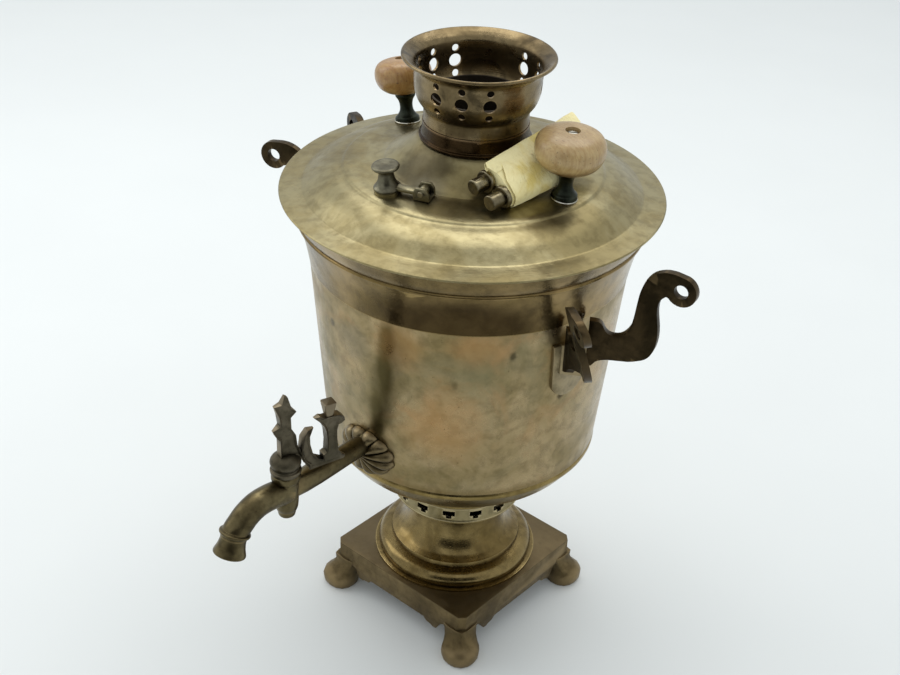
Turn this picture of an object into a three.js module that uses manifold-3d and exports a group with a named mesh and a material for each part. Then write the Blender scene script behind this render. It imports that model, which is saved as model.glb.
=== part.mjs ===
// A charcoal samovar of about five litres, in millimetres, +Z up.
// It stands on four cast feet. The tap points along -Y and the handles along X.
import * as THREE from 'three';
import { mergeVertices } from 'three/addons/utils/BufferGeometryUtils.js';
import Module from 'manifold-3d';

const wasm = await Module();
wasm.setup();

// Facets of the turned parts
const ROUND = 28;
const NECK_ROUND = 24;
const MIDDLE_ROUND = 18;
const SMALL_ROUND = 12;
const HOLE_ROUND = 8;
const SLIM_ROUND = 6;
const SPOUT_STEPS = 6;

// Clearances and sheet thicknesses
const GAP = 0.3;
const RUNNING_GAP = 0.25;
const OVERRUN = 3;
const SHEET = 1.5;
const WELD = 1e-4;
const SHARPEST_TURN = 0.6;
const WASHER_PLAY = 0.6;

// Cast base: a hollow square plate with an apron and four hoof feet
const BASE_HEIGHT = 39.6;
const BASE_HALF = 65.5;
const BASE_PLATE = 3.2;
const BASE_SKIRT = 24.4;
const BASE_SKIRT_WALL = 4;
const BASE_CORNER = 4.5;
const APRON_DROP = 20.1;
const FOOT_HEIGHT = 27;
const FOOT_PROUD = 7.6;
const FOOT_ROUND = 16;

// Pedestal
const FLANGE_RADIUS = 61.9;
const PEDESTAL_HEIGHT = 55.3;
const PEDESTAL_WALL = 1.6;

// Perforated neck with its draught windows and the grate
const NECK_RADIUS = 48;
const NECK_HEIGHT = 11.9;
const NECK_LEDGE = 6.5;
const NECK_LEDGE_THICKNESS = 1.4;
const WINDOW_COUNT = 15;
const WINDOW_START = -33.2;
const WINDOW_WIDTH = 9;
const WINDOW_HEIGHT = 7;
const WINDOW_STEM_WIDTH = 3.6;
const WINDOW_STEM_HEIGHT = 2.8;
const WINDOW_SILL = 2.6;
const GRATE_THICKNESS = 2.6;
const GRATE_SLOTS = 6;
const GRATE_SLOT = 5;
const GRATE_PITCH = 11;

// Body: bottom pan, wall, shoulder band and fire tube
const PAN_HEIGHT = 52.3;
const PAN_RADIUS = 98.1;
const SPIGOT_HEIGHT = 5.5;
const WALL_HEIGHT = 135.3;
const CREASE_RADIUS = 109.9;
const SHOULDER_HEIGHT = 49.4;
const TUBE_FOOT_RADIUS = 46;
const TUBE_TOP_RADIUS = 31.2;
const TUBE_HEIGHT = 306;
const TUBE_TAPER_HEIGHT = 226;

// Lid
const LID_RADIUS = 130;
const LID_OVERHANG = 4;
const LID_HEIGHT = 38;
const LID_HOLE = 36;
const STEP_RADIUS = 60.2;
const STEP_HEIGHT = 20.6;
const FLAT_WIDTH = 26;
const SLOPE_HEIGHT = 17.5;
const LOCATOR_PLAY = 1.25;
const LOCATOR_DEPTH = 12;
const COLLAR_HEIGHT = 11.4;
const COLLAR_BORE = 33.9;
const COLLAR_WALL = 1.5;
const COLLAR_BEAD = 2;
const COLLAR_SPIGOT = 5;

// Crown
const CROWN_RADIUS = 50.3;
const CROWN_HEIGHT = 45;
const CROWN_NECK = 34.9;
const CROWN_SPIGOT = 7;
const CROWN_GROUPS = [57, 178, 296];
const CROWN_COLUMN_STEP = 25;
const CROWN_HOLE = 8.7;
const CROWN_SMALL_HOLE = 4.8;
const CROWN_HOLE_HEIGHT = 25.5;
const CROWN_HOLE_PITCH = 8.8;

// Tap
const TAP_RISE = 26;
const TAP_REACH = 175;
const TAP_PIPE_RADIUS = 7.2;
const TAP_BORE_RADIUS = 3.2;
const TAP_TAIL = 13;
const TAP_THREAD_RADIUS = 6.5;
const BARREL_RADIUS = 9.8;
const BARREL_RISE = 15;
const BARREL_DROP = 15.3;
const PLUG_TOP_RADIUS = 6.8;
const PLUG_FOOT_RADIUS = 4.9;
const SPOUT_RADIUS = 8.8;
const SPOUT_REACH = 45;
const SPOUT_DROP = 7.9;
const SPOUT_LEAN = 22;
const SPOUT_MOUTH_LENGTH = 16;
const SPOUT_MOUTH_RADIUS = 10.9;
const OUTLET_RADIUS = 5.4;
const ROSETTE_WIDTH = 48;
const ROSETTE_HEIGHT = 36;
const ROSETTE_DROP = 6.6;
const ROSETTE_DEPTH = 8.5;
const ROSETTE_EDGE = 1.4;
const ROSETTE_FLUTES = 16;
const ROSETTE_FLUTE_SHARE = 0.1;
const NUT_THICKNESS = 5;
const WASHER_THICKNESS = 1.6;
const TAP_NUT_RADIUS = 13;

// Tap key
const KEY_TURN = 18;
const KEY_RING_RADIUS = 10.2;
const KEY_RING_HEIGHT = 14.5;
const BRANCH_LENGTH = 43;
const BRANCH_HEIGHT = 63.3;
const BRANCH_SAG = 1.9;
const BRANCH_THICKNESS = 7;
const KEY_TAIL_RADIUS = 2.4;
const KEY_NUT_RADIUS = 5.8;
const KEY_NUT_HEIGHT = 4.6;
const KEY_NUT_FOOT_RADIUS = 4;
const KEY_NUT_FOOT_HEIGHT = 1.8;

// Handles: a mount with a wedge on each side, and two flat S-shaped arms that curve in
// at their ends, where their eyes take one straight grip. One old arm is bent out at the top
const HANDLE_TURNS = [-10.5, 177];
const ARM_DROPS = [0, 4];
const MOUNT_WIDTH = 33;
const MOUNT_TOE_WIDTH = 27;
const MOUNT_RISE = 77.7;
const MOUNT_HEIGHT = 43;
const MOUNT_THICKNESS = 3;
const MOUNT_ROUND = 12;
const WEDGE_WIDTH = 22;
const WEDGE_RISE = 21.5;
const WEDGE_HEIGHT = 22;
const ARM_PLACE = 8.4;
const ARM_SPLAY = 45;
const ARM_END_SPLAY = 20;
const ARM_BEND = 60;
const ARM_THICKNESS = 5;
const ARM_REACH = 56.6;
const ARM_RISE = 2.9;
const ARM_HEIGHT = 78.3;
const ARM_EYE_RADIUS = 10.3;
const ARM_EYE_DROP = 11;
const ARM_HOLE_RADIUS = 4.8;
const ARM_EYE_FROM = -140;
const ARM_EYE_TO = 75;
const ARM_LEANS = [[0.36, 0], [0, 0]];
const ARM_LEAN_RISE = 47.6;
const ARM_LEAN_START = 22;

// Lid knobs
const KNOB_OUTS = [14.6, 19.4];
const KNOB_TURNS = [0.8, 166.6];
const KNOB_LEANS = [3, 12];
const KNOB_RADII = [22.8, 20];
const KNOB_HEIGHTS = [27.3, 24.5];
const KNOB_BORE = 2.3;
const KNOB_SINK_RADIUS = 4.9;
const KNOB_SINK_DEPTH = 4.4;
const STEM_HEIGHT = 18.3;
const STEM_RADIUS = 8.4;
const STEM_TAIL_RADIUS = 3;
const STEM_TAIL_LENGTH = 8;
const STEM_BORE_DEPTH = 11;
const STEM_WASHER_RADIUS = 9;
const STEM_WASHER_THICKNESS = 0.9;
const STEM_NUT_RADIUS = 6.6;
const STEM_NUT_THICKNESS = 4;
const SCREW_RADIUS = 2;
const SCREW_HEAD_RADIUS = 4.6;
const SCREW_HEAD_HEIGHT = 2.4;
const SCREW_SLOT = 1;
const SCREW_TURN = -49;
const SCREW_SLOT_DEPTH = 1.1;

// Steam vent
const VENT_OUT = 13;
const VENT_TURN = -98;
const VENT_ARM_TURN = 17;
const VENT_SEAT_RADIUS = 8.6;
const VENT_SEAT_THICKNESS = 1.2;
const VENT_TUBE_RADIUS = 4.2;
const VENT_TUBE_BORE = 2.6;
const VENT_TUBE_LENGTH = 9;
const VENT_CAP_RADIUS = 9;
const VENT_CAP_HEIGHT = 17.2;
const VENT_ARM_ROOT = 7.2;
const VENT_ARM_LENGTH = 26;
const VENT_ARM_WIDTH = 6;
const VENT_ARM_THICKNESS = 2.8;
const VENT_KNUCKLE_RADIUS = 3;
const VENT_PIN_RADIUS = 1.2;
const VENT_PIN_HEAD = 2;
const VENT_PIN_HEAD_LENGTH = 1;
const VENT_EAR_THICKNESS = 2;
const VENT_EAR_LENGTH = 11;
const VENT_EAR_HEIGHT = 8.6;
const VENT_EAR_SIDE = 5.3;
const VENT_EAR_TOP = 6.6;
const VENT_FOOT_THICKNESS = 1.5;

// Spare grip rods wrapped in paper, lying against the right knob
const ROD_LENGTH = 96;
const ROD_RADIUS = 4;
const ROD_END_RADIUS = 5;
const ROD_END_LENGTH = 10;
const ROD_COLLAR_RADIUS = 7.4;
const ROD_COLLAR_LENGTH = 3.4;
const ROD_SPACING = 15.4;
const WRAP_LENGTH = 78;
const WRAP_START = 14.4;
const BUNDLE_ASIDE = 25.9;
const BUNDLE_Y = -51;
const BUNDLE_LIFT = 8.4;
const BUNDLE_TURN = -6;
const BUNDLE_RISE = 5;
const BUNDLE_ROLL = 20;

// Outlines in shares of the sizes that they follow
const FOOT_SHARES = [[0, 0.853, 0.17, 2.2], [0.1, 0.856, 0.185, 2.2], [0.27, 0.856, 0.189, 2.3],
  [0.4, 0.85, 0.18, 2.4], [0.52, 0.83, 0.157, 2.8], [0.66, 0.802, 0.14, 3.4], [0.82, 0.783, 0.134, 4.5],
  [1, 0.78, 0.136, 6]];
const APRON_SHARES = [[0, 0.22], [0.42, 0.22], [0.46, 0.09], [0.53, 0.06], [0.56, 0], [0.61, 0.02],
  [0.64, 0.16], [0.67, 0.36], [0.72, 0.43], [0.78, 0.4], [0.82, 0.24]];
const PEDESTAL_SHARES = [[1, 0], [1, 0.025], [0.935, 0.036], [0.953, 0.09], [0.935, 0.16], [0.87, 0.222],
  [0.8, 0.244], [0.79, 0.306], [0.7, 0.373], [0.637, 0.463], [0.595, 0.58], [0.575, 0.71], [0.58, 0.82],
  [0.605, 0.91], [0.66, 0.965]];
const PAN_SHARES = [[0, 0], [0.006, 0.06], [0.05, 0.168], [0.16, 0.264], [0.5, 0.445], [0.66, 0.54],
  [0.8, 0.661], [0.912, 0.81], [0.997, 1]];
const SHOULDER_SHARES = [[0.02, 0], [0.105, 0.164], [0.255, 0.387], [0.478, 0.621], [0.522, 0.682],
  [0.677, 0.771], [1, 1]];
const BEAD_SHARES = [[0.559, 0.638], [0.565, 0.662]];
const CONE_SHARES = [[0, 1], [0.08, 0.93], [0.37, 0.55], [0.66, 0.28], [1, 0]];
const BRIM_SHARES = [[0, 1], [0.05, 0.935], [0.2, 0.823], [0.384, 0.606], [0.543, 0.343], [0.66, 0.171],
  [0.96, 0.07]];
const CROWN_SHARES = [[0, 0], [0, 0.176], [0.149, 0.264], [0.292, 0.342], [0.409, 0.476], [0.448, 0.653],
  [0.46, 0.79], [0.53, 0.855], [0.721, 0.911]];
const CROWN_LIP_SHARES = [[0.97, 0.948], [1, 0.975], [0.93, 1]];
const COLLAR_SHARES = [[1, 0], [1, 0.14], [0.3, 0.22], [0.12, 0.4], [0, 1]];
const BARREL_SHARES = [[0.66, 0], [0.8, 0.3], [0.84, 0.7], [0.86, 0.8], [0.98, 0.84], [1, 0.92], [0.95, 1]];
const SPOUT_SHARES = [[0, 0], [0.3, 0.33], [0.565, 0.356], [0.76, -0.04], [0.9, -0.68], [0.985, -1.05]];
const MOUTH_SHARES = [[0.8, -0.08], [0.94, 0], [0.96, 0.09], [0.8, 0.17], [0.8, 0.4], [0.88, 0.68],
  [0.99, 0.88], [1, 0.96], [0.95, 1]];
const ROSETTE_SHARES = [[1, 0], [0.98, 0.3], [0.86, 0.66], [0.68, 0.92], [0.5, 1]];
const KEY_SHARES = [[0.94, 0], [1, 0.06], [1, 0.2], [0.86, 0.27], [0.9, 0.36], [1, 0.52], [0.98, 0.68],
  [0.8, 0.86], [0.45, 0.98]];
const STEM_BRANCH_SHARES = [[-0.1, 0.2], [-0.1, 0.41], [-0.1, 0.46], [-0.17, 0.56], [-0.16, 0.61],
  [-0.1, 0.63], [-0.11, 0.75], [-0.14, 0.87], [-0.06, 0.88], [0, 0.96], [0.04, 0.95], [0.07, 0.83],
  [0.16, 0.74], [0.08, 0.72], [0.08, 0.58], [0.15, 0.49], [0.17, 0.36], [0.3, 0.12], [0.41, 0.05],
  [0.38, 0], [0.34, 0.04], [0.27, 0.12], [0.16, 0.24]];
const POST_BRANCH_SHARES = [[0.36, 0], [0.96, 0], [0.99, 0.03], [0.92, 0.06], [0.85, 0.14], [0.83, 0.3],
  [0.83, 0.42], [0.87, 0.45], [0.9, 0.46], [0.89, 0.53], [0.85, 0.56], [0.78, 0.57], [0.82, 0.74],
  [0.62, 0.74], [0.67, 0.57], [0.56, 0.59], [0.5, 0.56], [0.58, 0.52], [0.64, 0.43], [0.67, 0.28],
  [0.66, 0.15], [0.61, 0.12], [0.61, 0.07], [0.5, 0.12], [0.41, 0.21], [0.36, 0.33], [0.36, 0.42],
  [0.42, 0.5], [0.33, 0.49], [0.26, 0.4], [0.25, 0.26], [0.29, 0.14], [0.33, 0.06]];
const ARM_SHARES = [[0, 0], [0.065, 0.003], [0.11, 0.043], [0.175, 0.066], [0.251, 0.078], [0.486, 0.095],
  [0.601, 0.123], [0.68, 0.152], [0.739, 0.201], [0.777, 0.272], [0.795, 0.365], [0.788, 0.467],
  [0.758, 0.595], [0.754, 0.677], [0.777, 0.739], [0.834, 0.782]];
const ARM_BACK_SHARES = [[0.913, 1], [0.818, 0.997], [0.737, 0.98], [0.666, 0.95], [0.602, 0.897],
  [0.557, 0.825], [0.528, 0.736], [0.504, 0.562], [0.488, 0.48], [0.466, 0.421], [0.419, 0.363],
  [0.359, 0.326], [0.284, 0.317], [0.226, 0.328], [0.184, 0.36], [0.15, 0.405], [0.11, 0.429], [0, 0.437]];
const WOOD_SHARES = [[0.33, 0], [0.62, 0.06], [0.86, 0.21], [0.975, 0.4], [1, 0.55], [0.965, 0.73],
  [0.84, 0.88], [0.6, 0.965], [0.26, 1]];
const STEM_SHARES = [[1, 0], [1, 0.11], [0.78, 0.2], [0.58, 0.36], [0.54, 0.56], [0.63, 0.76], [0.82, 0.9],
  [0.82, 1]];
const WRAP_SHARES = [[0.95, -0.24], [0.88, 0.2], [0.39, 0.49], [-0.26, 0.68], [-0.71, 0.75], [-0.92, 0.52],
  [-0.93, 0.06], [-0.78, -0.24], [-0.39, -0.37], [0.58, -0.37]];
const WRAP_END_SHARES = [[0.95, -0.24], [0.88, 0.2], [0.39, 0.5], [-0.26, 0.74], [-0.95, 0.84], [-1.38, 0.66],
  [-1.3, 0.2], [-0.98, -0.14], [-0.39, -0.37], [0.58, -0.37]];
const VENT_SHARES = [[1, 0], [1, 0.09], [0.84, 0.17], [0.66, 0.34], [0.56, 0.56], [0.54, 0.73], [0.63, 0.81],
  [0.94, 0.87], [1, 0.92], [0.97, 0.985]];
const VENT_HOLLOW_SHARES = [[0, 0.2], [0.6, 0.2], [0.74, 0]];

// Places worked out from the sizes above
const FOOT_REACH = BASE_HALF + FOOT_PROUD;
const PEDESTAL_BASE = BASE_HEIGHT + GAP;
const PEDESTAL_TOP = PEDESTAL_BASE + PEDESTAL_HEIGHT;
const NECK_BASE = PEDESTAL_TOP + GAP;
const NECK_TOP = NECK_BASE + NECK_HEIGHT;
const PAN_BASE = NECK_TOP + GAP;
const PAN_TOP = PAN_BASE + PAN_HEIGHT;
const WALL_BASE = PAN_TOP + GAP;
const WALL_TOP = WALL_BASE + WALL_HEIGHT;
const SHOULDER_BASE = WALL_TOP + GAP;
const SHOULDER_TOP = SHOULDER_BASE + SHOULDER_HEIGHT;
const MOUTH_RADIUS = LID_RADIUS - LID_OVERHANG;
const LID_BASE = SHOULDER_TOP + GAP;
const LID_TOP = LID_BASE + LID_HEIGHT;
const SLOPE_RADIUS = STEP_RADIUS + FLAT_WIDTH;
const COLLAR_BASE = LID_TOP + GAP;
const COLLAR_TOP = COLLAR_BASE + COLLAR_HEIGHT;
const CROWN_BASE = COLLAR_TOP + GAP;
const TAP_HEIGHT = WALL_BASE + TAP_RISE;
const BARREL_TOP = TAP_HEIGHT + BARREL_RISE;
const BARREL_FOOT = TAP_HEIGHT - BARREL_DROP;
const MOUNT_BASE = WALL_BASE + MOUNT_RISE;
const WEDGE_BASE = MOUNT_BASE + WEDGE_RISE;
const ARM_BASE = WEDGE_BASE + ARM_RISE;
const ARM_LEAN_LEVEL = ARM_BASE + ARM_LEAN_RISE;
const KNOB_PLACES = KNOB_OUTS.map((out) => STEP_RADIUS + out);
const VENT_PLACE = STEP_RADIUS + VENT_OUT;
const BUNDLE_X = KNOB_PLACES[0] - BUNDLE_ASIDE;
const BUNDLE_Z = LID_BASE + STEP_HEIGHT + BUNDLE_LIFT;
const LID_SLOPE = Math.atan((STEP_HEIGHT - SLOPE_HEIGHT) / FLAT_WIDTH);
const WALL_FLARE = (CREASE_RADIUS - PAN_RADIUS) / WALL_HEIGHT;

// Finishes
const LID_BRASS = { color: 0x8f8350, roughness: 0.42, metalness: 0.9 };
const BODY_BRASS = { color: 0x9a7f56, roughness: 0.36, metalness: 0.9 };
const PEDESTAL_BRASS = { color: 0x8a7340, roughness: 0.35, metalness: 0.9 };
const CAST_BRONZE = { color: 0x5f4d36, roughness: 0.5, metalness: 0.85 };
const CROWN_BRONZE = { color: 0x6b5235, roughness: 0.4, metalness: 0.9 };
const TAP_BRONZE = { color: 0x55483a, roughness: 0.4, metalness: 0.9 };
const ARM_BRONZE = { color: 0x3a2f22, roughness: 0.45, metalness: 0.85 };
const IRON = { color: 0x2f2f2a, roughness: 0.55, metalness: 0.8 };
const SOOTED = { color: 0x2a241d, roughness: 0.8, metalness: 0.5 };
const WOOD = { color: 0xa4744a, roughness: 0.45, metalness: 0 };
const STEEL = { color: 0xb9b8b0, roughness: 0.3, metalness: 1 };
const PAPER = { color: 0xe4d9a0, roughness: 0.8, metalness: 0 };
const LEATHER = { color: 0x5a3d26, roughness: 0.85, metalness: 0 };

const radians = THREE.MathUtils.degToRad;

// Points between two radii and two heights, from a table of shares
function between(shares, r0, r1, z0, z1) {
  return shares.map(([r, z]) => [r0 + r * (r1 - r0), z0 + z * (z1 - z0)]);
}

// The same outline moved to its left side by a wall's thickness, with its ends kept level
function inside(points, wall) {
  return points.map(([r, z], i) => {
    const before = points[Math.max(i - 1, 0)];
    const after = points[Math.min(i + 1, points.length - 1)];
    const first = new THREE.Vector2(r - before[0], z - before[1]).normalize();
    const second = new THREE.Vector2(after[0] - r, after[1] - z).normalize();
    const along = first.clone().add(second).normalize();
    const spread = Math.max(along.dot(i ? first : second), SHARPEST_TURN);
    const end = i === 0 || i === points.length - 1;
    return [r - along.y * wall / spread, end ? z : z + along.x * wall / spread];
  });
}

// A closed outline of a sheet that follows the given outer points
function sheet(points, wall = SHEET) {
  return [...points, ...inside(points, wall).reverse()];
}

// Merged, closed geometry with its faces pointing out
function closed(geometry) {
  geometry.deleteAttribute('normal');
  geometry.deleteAttribute('uv');
  const merged = mergeVertices(geometry, WELD);
  const index = merged.index.array;
  const place = merged.attributes.position;
  const corner = [new THREE.Vector3(), new THREE.Vector3(), new THREE.Vector3()];
  const kept = [];
  let volume = 0;
  for (let i = 0; i < index.length; i += 3) {
    const [a, b, c] = [index[i], index[i + 1], index[i + 2]];
    if (a === b || b === c || c === a) continue;
    corner.forEach((v, k) => v.fromBufferAttribute(place, index[i + k]));
    volume += corner[0].dot(corner[1].clone().cross(corner[2]));
    kept.push(a, b, c);
  }
  if (volume < 0) {
    for (let i = 0; i < kept.length; i += 3) [kept[i], kept[i + 1]] = [kept[i + 1], kept[i]];
  }
  merged.setIndex(kept);
  return merged;
}

function solid(geometry) {
  const merged = closed(geometry.clone());
  return new wasm.Manifold(new wasm.Mesh({
    numProp: 3,
    vertProperties: new Float32Array(merged.attributes.position.array),
    triVerts: new Uint32Array(merged.index.array),
  }));
}

function geometryOf(body) {
  const mesh = body.getMesh();
  const geometry = new THREE.BufferGeometry();
  geometry.setAttribute('position', new THREE.BufferAttribute(new Float32Array(mesh.vertProperties), 3));
  geometry.setIndex(new THREE.BufferAttribute(new Uint32Array(mesh.triVerts), 1));
  return geometry;
}

function join(first, ...more) {
  return geometryOf(more.reduce((body, next) => body.add(solid(next)), solid(first)));
}

function cut(first, ...more) {
  return geometryOf(more.reduce((body, next) => body.subtract(solid(next)), solid(first)));
}

const common = (first, second) => geometryOf(solid(first).intersect(solid(second)));

// A solid turned about the Z axis from a closed outline of [radius, height] points
function turned(outline, sides = ROUND) {
  const points = [...outline, outline[0]].map(([r, z]) => new THREE.Vector2(r, z));
  return new THREE.LatheGeometry(points, sides).rotateX(Math.PI / 2);
}

// A round bar along Z that starts at the given height
function bar(radius, length, base = 0, sides = SMALL_ROUND) {
  return new THREE.CylinderGeometry(radius, radius, length, sides).rotateX(Math.PI / 2)
    .translate(0, 0, base + length / 2);
}

// A plate in the X-Y plane, of the given thickness about z = 0
function plate(points, thickness, holes = []) {
  const shape = new THREE.Shape(points.map(([x, y]) => new THREE.Vector2(x, y)));
  holes.forEach((hole) => shape.holes.push(new THREE.Path(hole.map(([x, y]) => new THREE.Vector2(x, y)))));
  return new THREE.ExtrudeGeometry(shape, { depth: thickness, bevelEnabled: false, steps: 1 })
    .translate(0, 0, -thickness / 2);
}

// The points of a circle or an arc
function arc(x, y, radius, from = 0, to = 360, steps = SMALL_ROUND) {
  const full = to - from === 360;
  return Array.from({ length: full ? steps : steps + 1 }, (_, i) => {
    const angle = radians(from + (to - from) * i / steps);
    return [x + radius * Math.cos(angle), y + radius * Math.sin(angle)];
  });
}

// A solid through rings of points, with flat ends
function loft(rings) {
  const count = rings[0].length;
  const index = [];
  for (let k = 0; k + 1 < rings.length; k++) {
    for (let i = 0; i < count; i++) {
      const [a, b] = [k * count + i, k * count + (i + 1) % count];
      index.push(a, b, b + count, a, b + count, a + count);
    }
  }
  const top = (rings.length - 1) * count;
  for (let i = 1; i + 1 < count; i++) index.push(0, i + 1, i, top, top + i, top + i + 1);
  const geometry = new THREE.BufferGeometry();
  geometry.setAttribute('position', new THREE.Float32BufferAttribute(rings.flat(2), 3));
  geometry.setIndex(index);
  return geometry;
}

function piece(name, geometry, finish) {
  const mesh = new THREE.Mesh(closed(geometry), new THREE.MeshStandardMaterial(finish));
  mesh.name = name;
  mesh.geometry.computeVertexNormals();
  return mesh;
}

function group(...children) {
  const parent = new THREE.Group();
  parent.add(...children);
  return parent;
}

// The radius of the body wall's outer face at a height
const wallRadius = (height) => PAN_RADIUS + (height - WALL_BASE) * WALL_FLARE;

// A cone frustum that fills the body wall out to a given distance from its outer face
function wallCone(offset) {
  const [low, high] = [WALL_BASE - OVERRUN, WALL_TOP + OVERRUN];
  return turned([[0, low], [wallRadius(low) + offset, low], [wallRadius(high) + offset, high], [0, high]]);
}

// One level of a foot: round at the hoof, and squarer where it meets the plate
function footRing([height, place, half, squareness]) {
  const centre = place * FOOT_REACH;
  return arc(0, 0, 1, 0, 360, FOOT_ROUND).map(([x, y]) => {
    const spread = (Math.abs(x) ** squareness + Math.abs(y) ** squareness) ** (1 / squareness);
    const reach = half * FOOT_REACH / spread;
    return [centre + x * reach, centre + y * reach, height * FOOT_HEIGHT];
  });
}

function squareRing(half, corner, height) {
  const low = half - corner;
  return [[half, -low], [half, low], [low, half], [-low, half], [-half, low], [-half, -low],
    [-low, -half], [low, -half]].map(([x, y]) => [x, y, height]);
}

function base() {
  const bottom = BASE_HEIGHT - BASE_SKIRT;
  const inner = BASE_HALF - BASE_SKIRT_WALL;
  const block = loft([squareRing(BASE_HALF, BASE_CORNER, bottom),
    squareRing(BASE_HALF, BASE_CORNER, BASE_HEIGHT)]);
  const hollow = loft([squareRing(inner, BASE_CORNER, bottom - OVERRUN),
    squareRing(inner, BASE_CORNER, BASE_HEIGHT - BASE_PLATE)]);
  const half = APRON_SHARES.map(([s, z]) => [s * BASE_HALF, bottom + z * APRON_DROP]);
  const [last] = half.slice(-1);
  const line = [...half, [last[0], bottom - OVERRUN]];
  const outline = [...line, ...line.map(([s, z]) => [-s, z]).reverse()];
  const apron = plate(outline, 2 * (BASE_HALF + OVERRUN)).rotateX(Math.PI / 2);
  const feet = [0, 1, 2, 3].map((i) => loft(FOOT_SHARES.map(footRing)).rotateZ(i * Math.PI / 2));
  return piece('base_plate', join(cut(block, hollow, apron, apron.clone().rotateZ(Math.PI / 2)), ...feet),
    CAST_BRONZE);
}

function pedestal() {
  const outer = between(PEDESTAL_SHARES, 0, FLANGE_RADIUS, PEDESTAL_BASE, PEDESTAL_TOP);
  const inner = inside(outer.slice(3), PEDESTAL_WALL).slice(0, -2).reverse();
  const throat = inner[0][0];
  const mouth = inner[inner.length - 1][0];
  return piece('pedestal', turned([...outer, [NECK_RADIUS, PEDESTAL_TOP - PEDESTAL_WALL],
    [NECK_RADIUS, PEDESTAL_TOP], [throat, PEDESTAL_TOP], ...inner, [mouth, PEDESTAL_BASE]], NECK_ROUND),
  PEDESTAL_BRASS);
}

function neckRing() {
  const inner = NECK_RADIUS - SHEET;
  const ledge = inner - NECK_LEDGE;
  const ring = turned([[NECK_RADIUS, NECK_BASE], [NECK_RADIUS, NECK_TOP], [ledge, NECK_TOP],
    [ledge, NECK_TOP - NECK_LEDGE_THICKNESS], [inner, NECK_TOP - NECK_LEDGE_THICKNESS], [inner, NECK_BASE]],
  NECK_ROUND);
  const [wide, stem] = [WINDOW_WIDTH / 2, WINDOW_STEM_WIDTH / 2];
  const step = WINDOW_STEM_HEIGHT;
  const outline = [[-stem, 0], [stem, 0], [stem, step], [wide, step], [wide, WINDOW_HEIGHT],
    [-wide, WINDOW_HEIGHT], [-wide, step], [-stem, step]];
  const windows = Array.from({ length: WINDOW_COUNT }, (_, i) => plate(outline, SHEET + 2 * OVERRUN)
    .rotateX(Math.PI / 2).rotateZ(Math.PI / 2).translate(NECK_RADIUS - SHEET / 2, 0, NECK_BASE + WINDOW_SILL)
    .rotateZ(radians(WINDOW_START + i * 360 / WINDOW_COUNT)));
  return piece('neck_ring', cut(ring, ...windows), PEDESTAL_BRASS);
}

function grate() {
  const radius = TUBE_FOOT_RADIUS - SHEET - GAP;
  const level = NECK_TOP + GAP;
  const disc = bar(radius, GRATE_THICKNESS, level, NECK_ROUND);
  const slots = Array.from({ length: GRATE_SLOTS }, (_, i) => {
    const place = (i - (GRATE_SLOTS - 1) / 2) * GRATE_PITCH;
    const reach = Math.sqrt(radius ** 2 - (Math.abs(place) + GRATE_SLOT / 2) ** 2) - GRATE_SLOT;
    return new THREE.BoxGeometry(GRATE_SLOT, 2 * reach, GRATE_THICKNESS + 2 * OVERRUN)
      .translate(place, 0, level + GRATE_THICKNESS / 2);
  });
  return piece('fire_grate', cut(disc, ...slots), IRON);
}

function pan() {
  const outer = between(PAN_SHARES, NECK_RADIUS, PAN_RADIUS, PAN_BASE, PAN_TOP);
  const inner = inside(outer, SHEET);
  const spigot = PAN_RADIUS - SHEET - GAP;
  const top = PAN_TOP + SPIGOT_HEIGHT;
  return piece('body_pan', turned([...outer, [spigot, PAN_TOP], [spigot, top], [spigot - SHEET, top],
    ...inner.slice(0, -1).reverse()]), BODY_BRASS);
}

function wall() {
  const shell = turned([[PAN_RADIUS, WALL_BASE], [CREASE_RADIUS, WALL_TOP], [CREASE_RADIUS - SHEET, WALL_TOP],
    [PAN_RADIUS - SHEET, WALL_BASE]]);
  const hole = bar(TAP_THREAD_RADIUS + GAP, PAN_RADIUS, 0).rotateX(Math.PI / 2)
    .translate(0, -PAN_RADIUS / 2, TAP_HEIGHT);
  return piece('body_wall', cut(shell, hole), BODY_BRASS);
}

const onShoulder = (shares) => between(shares, CREASE_RADIUS, MOUTH_RADIUS, SHOULDER_BASE, SHOULDER_TOP);

// The shoulder's outer radius at a height
function shoulderRadius(height) {
  const points = onShoulder(SHOULDER_SHARES);
  const above = points.findIndex(([, z]) => z > height);
  const [[r0, z0], [r1, z1]] = points.slice(above - 1, above + 1);
  return r0 + (r1 - r0) * (height - z0) / (z1 - z0);
}

function shoulder() {
  const smooth = onShoulder(SHOULDER_SHARES);
  const outer = [...smooth.slice(0, 4), ...onShoulder(BEAD_SHARES), ...smooth.slice(4)];
  const spigot = CREASE_RADIUS - SHEET - 2 * GAP;
  const low = SHOULDER_BASE - SPIGOT_HEIGHT;
  return piece('body_shoulder', turned([[spigot - SHEET, low], [spigot, low], [spigot, SHOULDER_BASE],
    ...outer, ...inside(smooth, SHEET).slice(1).reverse()]), BODY_BRASS);
}

function fireTube() {
  const bottom = PAN_BASE;
  const outer = [[TUBE_FOOT_RADIUS, bottom], [TUBE_TOP_RADIUS, bottom + TUBE_TAPER_HEIGHT],
    [TUBE_TOP_RADIUS, bottom + TUBE_HEIGHT]];
  return piece('fire_tube', turned(sheet(outer), NECK_ROUND), SOOTED);
}

// The lid's upper face between its steps, as heights above the table
const lidLevel = (radius) => LID_BASE + STEP_HEIGHT - (radius - STEP_RADIUS) * Math.tan(LID_SLOPE);

// A place on the lid, square to its face, at a radius and an angle
function lidPlace(radius, angle) {
  return new THREE.Matrix4().makeRotationZ(radians(angle))
    .multiply(new THREE.Matrix4().makeTranslation(radius, 0, lidLevel(radius)))
    .multiply(new THREE.Matrix4().makeRotationY(LID_SLOPE));
}

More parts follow.
